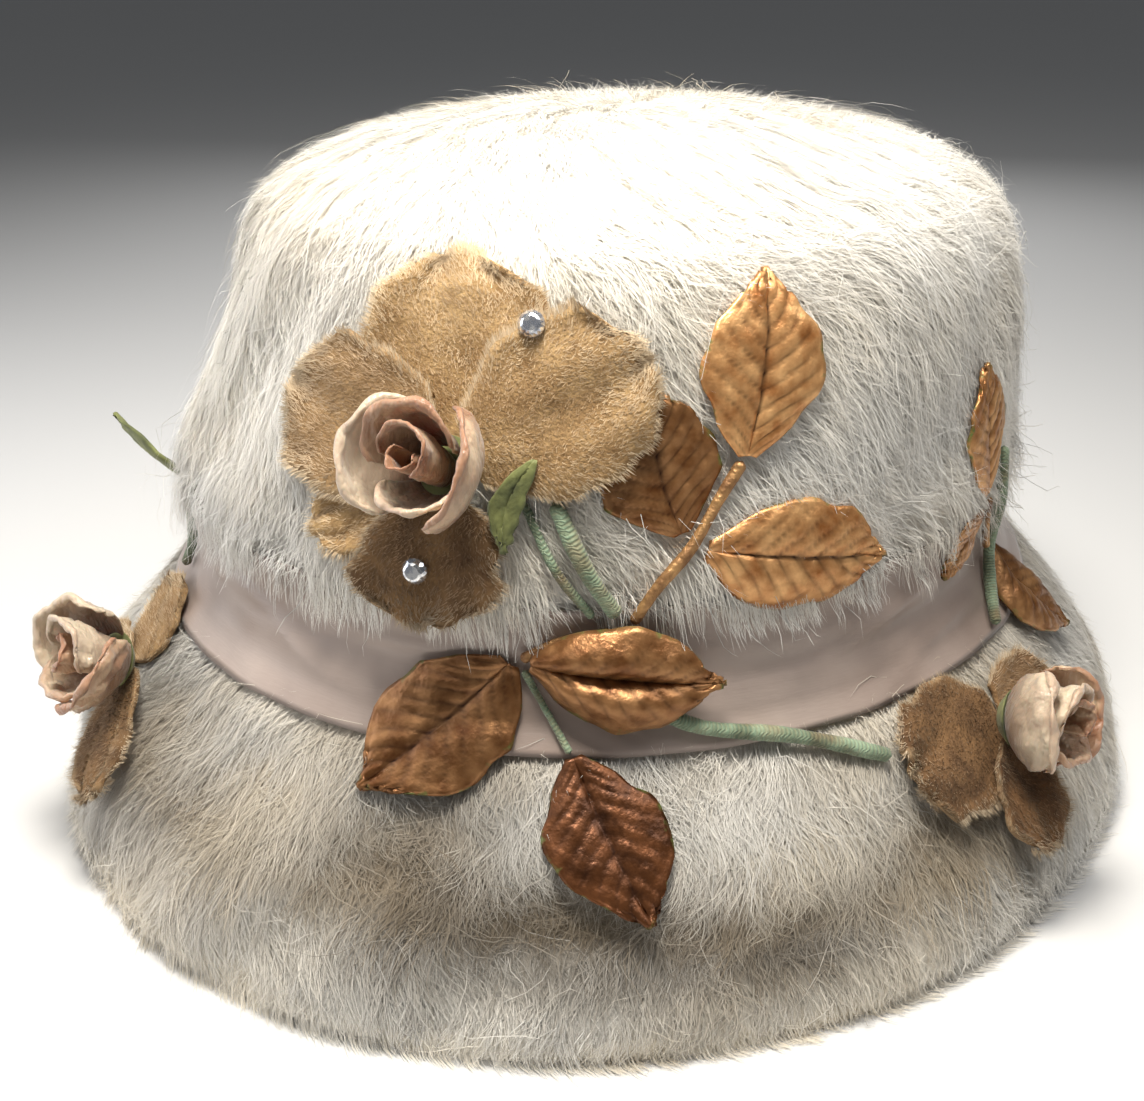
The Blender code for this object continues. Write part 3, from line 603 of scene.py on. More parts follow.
def bud_frame(chart, x, y, lift, lean_right, lean_up):
    foot = Vector(on_chart(chart, x, y, lift))
    beside = Vector(on_chart(chart, x + 1, y, lift))
    above = Vector(on_chart(chart, x, y, lift + 1))
    side = (beside - foot).normalized()
    out = (above - foot).normalized()
    axes = Matrix((side, out.cross(side), out)).transposed().to_4x4()
    lean = Matrix.Rotation(radians(lean_right), 4, "Y") @ Matrix.Rotation(radians(-lean_up), 4, "X")
    return Matrix.Translation(foot) @ axes @ lean


def placed(frame, points):
    matrix = np.array(frame)
    return points @ matrix[:3, :3].T + matrix[:3, 3]


def satin_petal(bud, frame, size, row, seed):
    """A petal of a bud, part of a cup round the bud's axis, with a soft rolled lip."""
    petal, centre, half_span, foot, belly, rim, height, lip, spiral, drop = row
    base = CALYX_HEIGHT + CLEARANCE + 0.5 * SATIN_THICKNESS
    crumple = 0.6 if bud == "rose" else 1.5

    def shape(u, v):
        across = 2.0 * u - 1.0
        cup = np.minimum(v / 0.84, 1.0)
        turn = np.radians(centre + half_span * across)
        radius = foot * (1 - cup) * (1 - 2 * cup) + 4 * belly * cup * (1 - cup) + rim * cup * (2 * cup - 1)
        radius = radius + spiral * across * cup - 0.9 * across ** 6 * cup
        soft_lip = 0.5 * lip * (1.0 - 0.75 * across ** 4) * (1.0 + 0.35 * np.sin(9.0 * across + seed))
        roll = np.clip((v - 0.84) / 0.16, 0.0, 1.0) * 1.15 * pi
        radius = radius + soft_lip * (1.0 - np.cos(roll))
        rise = height * cup * (1.0 - drop * across ** 2 - 0.10 * across ** 6)
        rise = rise - 0.35 * lip + soft_lip * np.sin(roll)
        crease = cup - 0.55 + 0.4 * across * np.sin(3.0 * seed)
        pinch = np.exp(-(crease / 0.11) ** 2) - np.exp(-((crease + 0.17) / 0.10) ** 2)
        wave = ripple(u, cup, seed, 3.0) + 0.5 * ripple(u, 0.7 * cup, 2.7 * seed, 7.5)
        folds = (1.0 - np.abs(np.sin(8.0 * across + 2.5 * cup * np.sin(seed) + seed))) ** 2 - 0.35
        wrinkle = (1.0 - np.abs(ripple(u, 0.8 * cup, 4.1 * seed, 5.0))) ** 3 - 0.3
        creased = crumple * (0.45 * wave + 0.5 * wrinkle + 0.45 * folds) + 0.45 * pinch
        radius = radius + creased * cup * (1.0 - 0.4 * roll / pi)
        rise = rise + crumple * 0.7 * ripple(v, u, seed + 3.0, 4.0) * cup
        points = np.stack((radius * np.cos(turn), radius * np.sin(turn), rise), axis=1) * size * TRIM_MODULE
        points[:, 2] = np.maximum(points[:, 2], 0.0) + base
        return placed(frame, points)

    def marks(u, v):
        # lightness: partly the petal's colour, partly painted shade; 0.2 darker all over on the right bud
        tint_and_shade = PETAL_TINT_AND_SHADE[petal] - (0.2 if bud == "right" else 0.0)
        return {"along": v,"tint_and_shade": np.full_like(u, max(tint_and_shade, 0.0))}

    item = bent_grid(f"{bud}_petal_{petal}", 30, 26, shape, "bud_satin", marks)
    thicken(item, 0.6 * SATIN_THICKNESS, 0.0)
    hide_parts(f"{bud}_satin_{petal}")
    return item


def bud(name, chart, x, y, lift, lean_right, lean_up, size):
    frame = bud_frame(chart, x, y, lift, lean_right, lean_up)
    made = []
    for index, row in enumerate(ROSE_PETALS if name == "rose" else SIDE_PETALS):
        made.append(satin_petal(name, frame, size, row, 1.0 + index + 2.0 * len(name)))
    return made


def hat_band():
    """The satin ribbon as one closed ring with soft folds and a turned edge."""
    profile = np.array([(share, 1.0) for share in np.linspace(0.0, 1.0, 25)]
                       + [(share, 0.0) for share in np.linspace(1.0, 0.0, 13)] + [(0.0, 1.0)])

    def shape(u, v):
        azimuth = 360.0 * u
        place = v * (len(profile) - 1)
        share = np.interp(place, range(len(profile)), profile[:, 0])
        outer = np.interp(place, range(len(profile)), profile[:, 1])
        height = SEAM_HEIGHT - BAND_FALL + share * (BAND_FALL + BAND_RISE)
        above = 1.0 + (height - SEAM_HEIGHT) / CROWN_HEIGHT
        level = np.where(height < SEAM_HEIGHT, height / SEAM_HEIGHT, above)
        _, half_width, lean = felt_section(level)
        turn = np.radians(azimuth)
        soft = np.sin(pi * share) ** 0.5
        run = 2.3 * pi * share + 1.3 * np.sin(3.0 * turn + 0.6) + 0.8 * np.sin(7.0 * turn + 1.0)
        crease = (1.0 - np.abs(np.sin(run))) ** 2.2 * (0.55 + 0.45 * np.sin(5.0 * turn + 2.0))
        puckers = 0.00018 * np.sin(31.0 * turn + 6.0 * share) * np.sin(7.0 * turn) + 0.0009 * crease * soft
        half_width = half_width + band_rise(share) + fold_height(azimuth, share)
        half_width = half_width + outer * BAND_THICKNESS + puckers
        return on_oval(azimuth, height, half_width, lean)

    item = bent_grid("ribbon_band", 240, len(profile) - 1, shape, "satin_ribbon")
    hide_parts("hat_band")
    return item


def felt_body(node):
    """The felt wall: the CAD node, subdivided, with its outer face laid on the exact felt surface."""
    bm = bmesh.new()
    bm.from_mesh(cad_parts[node].data)
    bmesh.ops.remove_doubles(bm, verts=bm.verts, dist=0.00001)
    bmesh.ops.subdivide_edges(bm, edges=bm.edges, cuts=1, use_grid_fill=True)
    points = np.array([vert.co for vert in bm.verts])
    turn, level = nearest_on_face(points)
    spot, _, _, out = face_point(turn, level, band=0.0)
    depth = ((points - spot) * out).sum(axis=1)
    outer = (depth > -0.5 * FELT_THICKNESS) & (level > 0.03) & (np.abs(level - 1.0) > 0.02)
    tone, warm = pile_tone_and_shade(turn, level)
    layers = [bm.verts.layers.float.new(key) for key in ("tone", "warm")]
    for index, vert in enumerate(bm.verts):
        if outer[index]:
            vert.co = spot[index] - out[index] * 0.0002
        vert[layers[0]] = float(tone[index])
        vert[layers[1]] = float(warm[index])
    mesh = bpy.data.meshes.new("felt_" + node)
    bm.to_mesh(mesh)
    bm.free()
    mesh.materials.clear()
    mesh.shade_smooth()
    item = add_piece("felt_" + node, mesh, "mohair_felt")
    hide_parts(node)


def calyx(name, frame, size):
    """The green cup under a bud, with its rim and foot rounded."""
    bm = bmesh.new()
    bmesh.ops.create_cone(
        bm, cap_ends=True, segments=32, radius1=0.6 * CALYX_RADIUS * size, radius2=CALYX_RADIUS * size,
        depth=CALYX_HEIGHT, matrix=frame @ Matrix.Translation((0.0, 0.0, 0.5 * CALYX_HEIGHT)))
    rims = [edge for edge in bm.edges if edge.calc_face_angle(0.0) > 0.9]
    bmesh.ops.bevel(bm, geom=rims, offset=0.0004, segments=3, profile=0.5, affect="EDGES", material=-1)
    item = finish_mesh(name + "_cup", bm, "sepal_green", smooth=False)
    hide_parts(name)


def stone(name, chart, x, y, lift):
    """A clear faceted stone: a flat back, a girdle, and rings of facets up to a flat table."""
    frame = bud_frame(chart, x, y, lift, 0.0, 0.0)
    radius = 0.5 * STONE_DIAMETER
    girdle = STONE_HEIGHT * STONE_RINGS[0][1]
    bm = bmesh.new()
    bmesh.ops.create_cone(
        bm, cap_ends=True, segments=16, radius1=0.96 * radius, radius2=radius, depth=girdle,
        matrix=Matrix.Translation((0.0, 0.0, 0.5 * girdle)))
    for width, rise, turn in STONE_RINGS[1:]:
        table = max(bm.faces, key=lambda face: face.calc_center_median().z)
        bmesh.ops.inset_region(bm, faces=[table], thickness=0.05 * radius, use_even_offset=True)
        ring = list(table.verts)
        share = width * radius / max(vert.co.to_2d().length for vert in ring)
        bmesh.ops.scale(bm, verts=ring, vec=(share, share, 1.0))
        bmesh.ops.translate(bm, verts=ring, vec=(0.0, 0.0, rise * STONE_HEIGHT - ring[0].co.z))
        bmesh.ops.rotate(bm, verts=ring, cent=(0.0, 0.0, 0.0), matrix=Matrix.Rotation(radians(turn), 3, "Z"))
    bmesh.ops.triangulate(bm, faces=[face for face in bm.faces if len(face.verts) == 4])
    bmesh.ops.transform(bm, verts=bm.verts, matrix=frame)
    item = finish_mesh(name + "_cut", bm, "crystal", smooth=False)
    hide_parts(name)


# Fur

def face_point(azimuth, level, band=1.0):
    """A point on the dressed face and the axes there: to the right, up the hat and outwards."""
    level = np.clip(level, 0.0, 1.9992)
    spot = on_oval(azimuth, *dressed_section(azimuth, level, band))
    step = 0.004
    up = (on_oval(azimuth, *dressed_section(azimuth, np.minimum(level + step, 1.9996), band))
          - on_oval(azimuth, *dressed_section(azimuth, level - step, band)))
    height, half_width, lean = dressed_section(azimuth, level, band)
    half_width = np.maximum(half_width, 0.0004)
    side = on_oval(azimuth + 1.5, height, half_width, lean)
    side -= on_oval(azimuth - 1.5, height, half_width, lean)
    side /= np.linalg.norm(side, axis=-1, keepdims=True)
    out = np.cross(side, up)
    out /= np.maximum(np.linalg.norm(out, axis=-1, keepdims=True), 1e-12)
    return spot, side, np.cross(out, side), out


KEY_LEVELS = np.linspace(0.0, 1.9995, 1200)
KEY_HEIGHTS, KEY_WIDTHS, KEY_LEANS = felt_section(KEY_LEVELS)
KEYS = np.maximum.accumulate(KEY_HEIGHTS - KEY_WIDTHS + np.arange(len(KEY_LEVELS)) * 1e-9)


def nearest_on_face(points):
    """The azimuth and level of the place on the felt that lies under each point."""
    lean = np.full(len(points), 0.5 * CROWN_LEAN)
    for _ in range(3):
        x = points[:, 0] - lean * sin(radians(LEAN_AZIMUTH))
        y = (points[:, 1] + lean * cos(radians(LEAN_AZIMUTH))) / OVAL_RATIO
        azimuth = np.degrees(np.arctan2(x, -y))
        level = np.interp(points[:, 2] - np.hypot(x, y), KEYS, KEY_LEVELS)
        lean = np.interp(level, KEY_LEVELS, KEY_LEANS)
    return azimuth, level


def drift(azimuth, level, seed):
    """Smooth unevenness over the hat, about -1 to 1."""
    turn = np.radians(azimuth)
    broad = np.sin(3.0 * turn + 4.1 * level + seed) * np.cos(2.0 * turn - 6.3 * level + 2.0 * seed)
    fine = np.sin(11.0 * turn + 9.0 * level + 3.0 * seed) * np.cos(8.0 * turn - 17.0 * level + seed)
    return 0.62 * broad + 0.38 * fine


def hair_heading(azimuth, level):
    """Which way the pile lies, in degrees from straight down the hat towards the right."""
    turn = np.radians(azimuth - 70.0)
    crown = 14.0 + 34.0 * np.clip(np.cos(turn), 0.0, 1.0) + 40.0 * drift(azimuth, level, 0.7)
    brim = 38.0 * drift(azimuth, level * 1.6, 2.9) + 26.0 * drift(azimuth * 3.0, level * 3.0, 1.3)
    return np.where(level > 1.0, crown, brim)


def pile_tone_and_shade(azimuth, level):
    """Pile lightness and warmth: cream crown, greyer patchy brim, painted shade in dents, painted light at the
    hem.
    """
    crown = 0.90 + 0.10 * drift(azimuth, level, 1.1)
    brim = 0.64 + 0.20 * drift(azimuth, level * 2.0, 4.2) + 0.12 * drift(azimuth * 2.0, level * 5.0, 7.7)
    # painted shade: the pile darkens in the dents
    brim = brim - 0.60 * np.clip(dent_depth(azimuth, level) / FELT_THICKNESS, 0.0, 1.0) ** 0.8
    # lighter towards the hem: partly paler fringe, partly painted light
    brim = brim + 0.60 * (1.0 - eased(0.03, 0.24, level))
    warm = np.clip(0.30 + 0.6 * drift(azimuth, level * 1.4, 5.5), 0.0, 1.0)
    return np.where(level > 1.0, crown, brim), np.where(level > 1.0, 0.5 * warm, warm)


def free_heights(trims):
    """How far hairs may stand off the face before they would meet a trimming, on a grid."""
    azimuths = np.linspace(-180.0, 180.0, 541)
    levels = np.linspace(0.0, 1.99, 221)
    room = np.full((len(azimuths), len(levels)), 0.02)
    depsgraph = bpy.context.evaluated_depsgraph_get()
    for item in trims:
        tree = BVHTree.FromObject(item, depsgraph)
        corners = np.array([item.bound_box[index] for index in range(8)])
        turns, _ = nearest_on_face(corners)
        middle = np.degrees(np.angle(np.exp(1j * np.radians(turns)).mean()))
        reach = np.abs(np.mod(turns - middle + 180.0, 360.0) - 180.0).max() + 6.0
        near = np.abs(np.mod(azimuths - middle + 180.0, 360.0) - 180.0) < reach
        low, high = corners[:, 2].min() - 0.02, corners[:, 2].max() + 0.02
        heights = felt_section(levels)[0]
        for i in np.flatnonzero(near):
            rows = np.flatnonzero((heights > low) & (heights < high))
            spots, _, _, outs = face_point(np.full(len(rows), azimuths[i]), levels[rows])
            for j, spot, out in zip(rows, spots, outs):
                hit = tree.ray_cast(Vector(spot - out * 0.001), Vector(out), 0.016)[3]
                if hit is not None:
                    room[i, j] = min(room[i, j], max(hit - TRIM_GAP, 0.0001))
    return azimuths, levels, room


def nearest_index(share, count):
    return np.clip(np.round(share * (count - 1)).astype(int), 0, count - 1)


def room_at(grid, azimuth, level):
    azimuths, levels, room = grid
    i = nearest_index(np.mod(azimuth + 180.0, 360.0) / 360.0, len(azimuths))
    j = nearest_index(level / levels[-1], len(levels))
    return room[i, j]


def scattered(low, high, first, last, count, chance):
    """Random places, evenly spread over a zone of the hat."""
    runs = np.linspace(low, high, 400)
    height, half_width, _ = felt_section(runs)
    weight = np.hypot(np.gradient(height), np.gradient(half_width)) * (half_width + 0.0005)
    share = np.concatenate(([0.0], np.cumsum(weight)))[:-1] / weight.sum()
    level = np.interp(chance.random(count), share, runs)
    return first + (last - first) * chance.random(count), level


def fuzz(name, low, high, first, last, count, grid, chance):
    """Short fine hairs that lie every way between the locks and stand off the outline."""
    turn, level = scattered(low, high, first, last, count, chance)
    base, side, up, out = face_point(turn, level)
    tone, warm = pile_tone_and_shade(turn, level)
    heading = np.radians(hair_heading(turn, level) + chance.normal(0.0, 26.0, count))
    reach = FUZZ_LENGTH * chance.uniform(0.6, 1.3, count)
    way = side * np.sin(heading)[:, None] - up * np.cos(heading)[:, None]
    lift = np.minimum(reach * chance.uniform(0.1, 0.75, count) ** 1.5, room_at(grid, turn, level))
    tips = base + way * reach[:, None] + out * lift[:, None]
    tips[:, 2] = np.maximum(tips[:, 2], LOWEST_HAIR)
    knots = np.stack((base + out * 0.0001, tips), axis=1)
    marks = {"tone": np.clip(tone + chance.normal(0.0, 0.08, count), 0.0, 1.0), "warm": warm}
    outs = np.stack((out, out), axis=1)
    hair_mesh(name, knots, outs, 1.3 * HAIR_WIDTH, marks, MOHAIR_FINISH, chance)


def fur(name, low, high, first, last, locks, hairs, length, standing, short, grid, chance):
    """A patch of pile: tapered hairs gathered in locks that follow the nap of the hat."""
    fuzz(name + "_fuzz", low, high, first, last, short, grid, chance)
    lock_turn, lock_level = scattered(low, high, first, last, locks, chance)
    lock_heading = hair_heading(lock_turn, lock_level) + chance.normal(0.0, 11.0, locks)
    lock_bend = chance.normal(0.0, 24.0, locks)
    lock_wave = chance.uniform(10.0, 36.0, locks)
    lock_length = length * chance.uniform(0.75, 1.3, locks)
    lock_rise = chance.uniform(0.5, 1.25, locks)
    lock_tone = chance.normal(0.0, 0.05, locks)

    count = locks * hairs
    of = np.repeat(np.arange(locks), hairs)
    spread = LOCK_RADIUS * np.sqrt(chance.random(count))
    angle = chance.uniform(0.0, 2.0 * pi, count)
    spot, side, up, out = face_point(lock_turn[of], lock_level[of])
    offset = side * (spread * np.cos(angle))[:, None] + up * (spread * np.sin(angle))[:, None]
    points = spot + offset
    turn, level = nearest_on_face(points)
    level = np.clip(level, low, high)
    tone, warm = pile_tone_and_shade(turn, level)
    tone = np.clip(tone + lock_tone[of] + chance.normal(0.0, 0.035, count), 0.0, 1.0)
    stray = chance.random(count) < STRAY_SHARE
    trimmed = np.where(level > 1.0, 0.16 + 0.84 * eased(1.15, 1.50, level), 1.0)
    hair_length = lock_length[of] * chance.uniform(0.7, 1.15, count) * np.where(stray, 1.35, 1.0) * trimmed
    rise = standing * lock_rise[of] * chance.uniform(0.25, 1.15, count) * np.where(stray, 2.4, 1.0)
    rise = rise * np.where(level > 1.0, 2.4 - 1.4 * eased(1.165, 1.34, level), 1.0)
    heading = lock_heading[of] + chance.normal(0.0, 6.0, count)
    heading = heading + np.where(stray, chance.normal(0.0, 45.0, count), 0.0)
    bend = lock_bend[of] + chance.normal(0.0, 14.0, count)
    wave = chance.uniform(0.0, 2.0 * pi, locks)[of] + chance.normal(0.0, 0.35, count)

    base, side, up, out = face_point(turn, level)
    knots = np.empty((count, HAIR_KNOTS, 3))
    outs = np.empty((count, HAIR_KNOTS, 3))
    pull = -offset * 0.55
    step = hair_length / (HAIR_KNOTS - 1)
    fixed_way = np.array((0.42, -0.80, 0.0))
    for knot in range(HAIR_KNOTS):
        at = knot / (HAIR_KNOTS - 1)
        limit = room_at(grid, turn, level)
        lift = np.minimum(rise * (0.06 + 0.94 * sin(0.5 * pi * at ** 0.8)), limit)
        knots[:, knot] = base + out * lift[:, None]
        outs[:, knot] = out
        if knot == HAIR_KNOTS - 1:
            break
        swing = np.radians(heading + bend * at + lock_wave[of] * np.sin(wave + 5.4 * at))
        way = side * np.sin(swing)[:, None] - up * np.cos(swing)[:, None]
        combed = fixed_way - out * (out @ fixed_way)[:, None]
        crest = eased(1.86, 1.96, level)[:, None]
        way = way * (1.0 - crest) + (combed + 0.5 * way) * crest
        way /= np.maximum(np.linalg.norm(way, axis=1, keepdims=True), 1e-9)
        ahead = base + way * step[:, None] + pull * (0.9 / (HAIR_KNOTS - 1))
        turn, level = nearest_on_face(ahead)
        held, side, up, out = face_point(turn, level)
        over_hem = ahead[:, 2] < 0.0012
        outward = np.stack((np.sin(np.radians(turn)), -np.cos(np.radians(turn)), np.zeros(count)), axis=1)
        loose = base + outward * (step * 0.22)[:, None] + side * (step * 0.3)[:, None]
        loose[:, 2] = np.maximum(ahead[:, 2], 0.0005)
        base = np.where(over_hem[:, None], loose, held)
    knots[:, :, 2] = np.maximum(knots[:, :, 2], LOWEST_HAIR)
    outs[:, :, 2] += 0.9 * (1.0 - eased(0.05, 0.28, level))[:, None]
    outs /= np.linalg.norm(outs, axis=2, keepdims=True)
    hair_mesh(name, knots, outs, HAIR_WIDTH, {"tone": tone, "warm": warm}, MOHAIR_FINISH, chance)


def set_mark(mesh, key, values):
    mesh.attributes.new(key, "FLOAT", "POINT").data.foreach_set("value", values.astype(np.float32))


def hair_mesh(name, knots, outs, thickness, marks, finish, chance):
    """Joins many tapered hairs, given by their knots, into one mesh."""
    count, steps, _ = knots.shape
    along = np.gradient(knots, axis=1)
    along /= np.maximum(np.linalg.norm(along, axis=2, keepdims=True), 1e-12)
    flat = np.cross(outs, along)
    flat /= np.maximum(np.linalg.norm(flat, axis=2, keepdims=True), 1e-12)
    roll = chance.normal(0.0, 0.25, (count, 1, 1))
    flat = flat * np.cos(roll) + outs * np.sin(roll)
    taper = np.array([1.0, 1.0, 0.85, 0.6, 0.3, 0.2])[:steps - 1]
    width = 0.5 * thickness * chance.uniform(0.7, 1.3, (count, 1, 1)) * taper[None, :, None]
    left = knots[:, :-1] - flat[:, :-1] * width
    right = knots[:, :-1] + flat[:, :-1] * width
    body = np.stack((left, right), axis=2).reshape(count, -1, 3)
    points = np.concatenate((body, knots[:, -1:]), axis=1)
    per = points.shape[1]
    quads = np.array([(2 * k, 2 * k + 2, 2 * k + 3, 2 * k + 1) for k in range(steps - 2)], dtype=int)
    tip = np.array((per - 3, per - 1, per - 2))
    starts = np.arange(count)[:, None] * per
    corners = np.concatenate(((quads.reshape(1, -1) + starts), (tip[None] + starts)), axis=1).reshape(-1)
    sizes = np.tile(np.array([4] * (steps - 2) + [3]), count)
    mesh = bpy.data.meshes.new(name)
    mesh.vertices.add(count * per)
    mesh.vertices.foreach_set("co", points.reshape(-1).astype(np.float32))
    mesh.loops.add(len(corners))
    mesh.loops.foreach_set("vertex_index", corners.astype(np.int32))
    mesh.polygons.add(len(sizes))
    mesh.polygons.foreach_set("loop_start", np.concatenate(([0], np.cumsum(sizes)[:-1])).astype(np.int32))
    mesh.update(calc_edges=True)
    shares = np.append(np.repeat(np.arange(steps - 1), 2), steps - 1) / (steps - 1)
    set_mark(mesh, "along", np.tile(shares, count))
    for key, values in marks.items():
        set_mark(mesh, key, np.repeat(values, per))
    mesh.shade_smooth()
    soft = np.concatenate((np.repeat(outs[:, :-1], 2, axis=1), outs[:, -1:]), axis=1).reshape(-1, 3)
    soft = soft + chance.normal(0.0, 0.12, (count, 1, 3)).repeat(per, axis=1).reshape(-1, 3)
    soft /= np.linalg.norm(soft, axis=1, keepdims=True)
    mesh.normals_split_custom_set_from_vertices(soft.tolist())
    add_piece(name, mesh, *finish)


# Finishes

FINISHES = {}


def add_node(tree, kind, inputs=None, **settings):
    """A shader node; inputs hold plain values or the sockets to link."""
    made = tree.nodes.new(kind)
    for key, value in settings.items():
        setattr(made, key, value)
    for key, value in (inputs or {}).items():
        if isinstance(value, bpy.types.NodeSocket):
            tree.links.new(value, made.inputs[key])
        else:
            made.inputs[key].default_value = value
    return made


def math(tree, operation, *values, clamp=False):
    made = add_node(tree, "ShaderNodeMath", dict(enumerate(values)), operation=operation, use_clamp=clamp)
    return made.outputs[0]


def noise(tree, vector, scale, detail):
    made = add_node(tree, "ShaderNodeTexNoise", {"Vector": vector, "Scale": scale, "Detail": detail})
    return made.outputs["Fac"]


def blended(tree, share, low, high):
    return add_node(tree, "ShaderNodeMix", {0: share, 6: low, 7: high}, data_type="RGBA").outputs[2]


def mark(tree, name):
    return add_node(tree, "ShaderNodeAttribute", attribute_name=name).outputs["Fac"]


def new_group(name, takes, gives):
    tree = bpy.data.node_groups.new(name, "ShaderNodeTree")
    for label, kind, value in takes:
        socket = tree.interface.new_socket(name=label, in_out="INPUT", socket_type=kind)
        if value is not None:
            socket.default_value = value
    for label, kind in gives:
        tree.interface.new_socket(name=label, in_out="OUTPUT", socket_type=kind)
    return tree, tree.nodes.new("NodeGroupInput").outputs, tree.nodes.new("NodeGroupOutput").inputs


def mottle_group():
    """Patchy colour: two sizes of noise between a low and a high colour."""
    tree, given, out = new_group(
        "cloth_mottle",
        [("Vector", "NodeSocketVector", None), ("Scale", "NodeSocketFloat", 60.0),
         ("Contrast", "NodeSocketFloat", 1.0),
         ("Low", "NodeSocketColor", None), ("High", "NodeSocketColor", None)],
        [("Color", "NodeSocketColor"), ("Mask", "NodeSocketFloat")])
    centred = math(tree, "SUBTRACT", noise(tree, given["Vector"], given["Scale"], 5.0), 0.5)
    share = math(tree, "MULTIPLY_ADD", centred, given["Contrast"], 0.5, clamp=True)
    tree.links.new(share, out["Mask"])
    tree.links.new(blended(tree, share, given["Low"], given["High"]), out["Color"])
    return tree


def grain_group():
    """Fine uneven nap or weave as a height for a bump."""
    tree, given, out = new_group(
        "fine_grain",
        [("Vector", "NodeSocketVector", None), ("Scale", "NodeSocketFloat", 900.0),
         ("Stretch", "NodeSocketVector", (1.0, 1.0, 1.0))],
        [("Height", "NodeSocketFloat")])
    factors = {0: given["Vector"], 1: given["Stretch"]}
    stretched = add_node(tree, "ShaderNodeVectorMath", factors, operation="MULTIPLY").outputs[0]
    tree.links.new(noise(tree, stretched, given["Scale"], 3.0), out["Height"])
    return tree


def worn_group():
    """Where an edge is rubbed: a rim mark broken up by noise."""
    tree, given, out = new_group(
        "rubbed_edge",
        [("Vector", "NodeSocketVector", None), ("Rim", "NodeSocketFloat", 0.0), 
         ("Start", "NodeSocketFloat", 0.85), ("Scale", "NodeSocketFloat", 300.0)],
        [("Mask", "NodeSocketFloat")])
    rough = noise(tree, given["Vector"], given["Scale"], 4.0)
    pushed = math(tree, "MULTIPLY_ADD", rough, 0.5, -0.25)
    reach = math(tree, "SUBTRACT", math(tree, "ADD", given["Rim"], pushed), given["Start"])
    tree.links.new(math(tree, "MULTIPLY", reach, 9.0, clamp=True), out["Mask"])
    return tree


def start_material(name, **values):
    made = bpy.data.materials.new(name + "_finish")
    FINISHES[name] = made
    made.use_nodes = True
    shader = made.node_tree.nodes["Principled BSDF"]
    for key, value in values.items():
        shader.inputs[key.replace("_", " ")].default_value = value
    place = add_node(made.node_tree, "ShaderNodeTexCoord").outputs["Object"]
    return made.node_tree, shader, place


def use_group(tree, group, **inputs):
    return add_node(tree, "ShaderNodeGroup", inputs, node_tree=group).outputs


def bump(tree, shader, height, strength, distance):
    made = add_node(tree, "ShaderNodeBump", {"Height": height, "Strength": strength, "Distance": distance})
    tree.links.new(made.outputs[0], shader.inputs["Normal"])


def pile_colour(tree, tone, warm, along):
    """Hair colour from its lightness and warmth, darker towards the root."""
    plain = blended(tree, tone, (0.20, 0.17, 0.13, 1.0), (0.97, 0.945, 0.885, 1.0))
    tan = blended(tree, tone, (0.25, 0.175, 0.09, 1.0), (0.95, 0.84, 0.65, 1.0))
    shade = blended(tree, warm, plain, tan)
    root = math(tree, "MULTIPLY_ADD", along, 0.16, 0.86)
    depth = math(tree, "MINIMUM", root, 1.0)
    return add_node(tree, "ShaderNodeVectorMath", {0: shade, "Scale": depth}, operation="SCALE").outputs[0]


def thread_wave(tree, pitch):
    """A wave that winds round a stem as thread does, by pitch radians to a millimetre."""
    around = math(tree, "MULTIPLY", mark(tree, "around"), 2.0 * pi)
    return math(tree, "SINE", math(tree, "MULTIPLY_ADD", mark(tree, "along"), pitch, around))


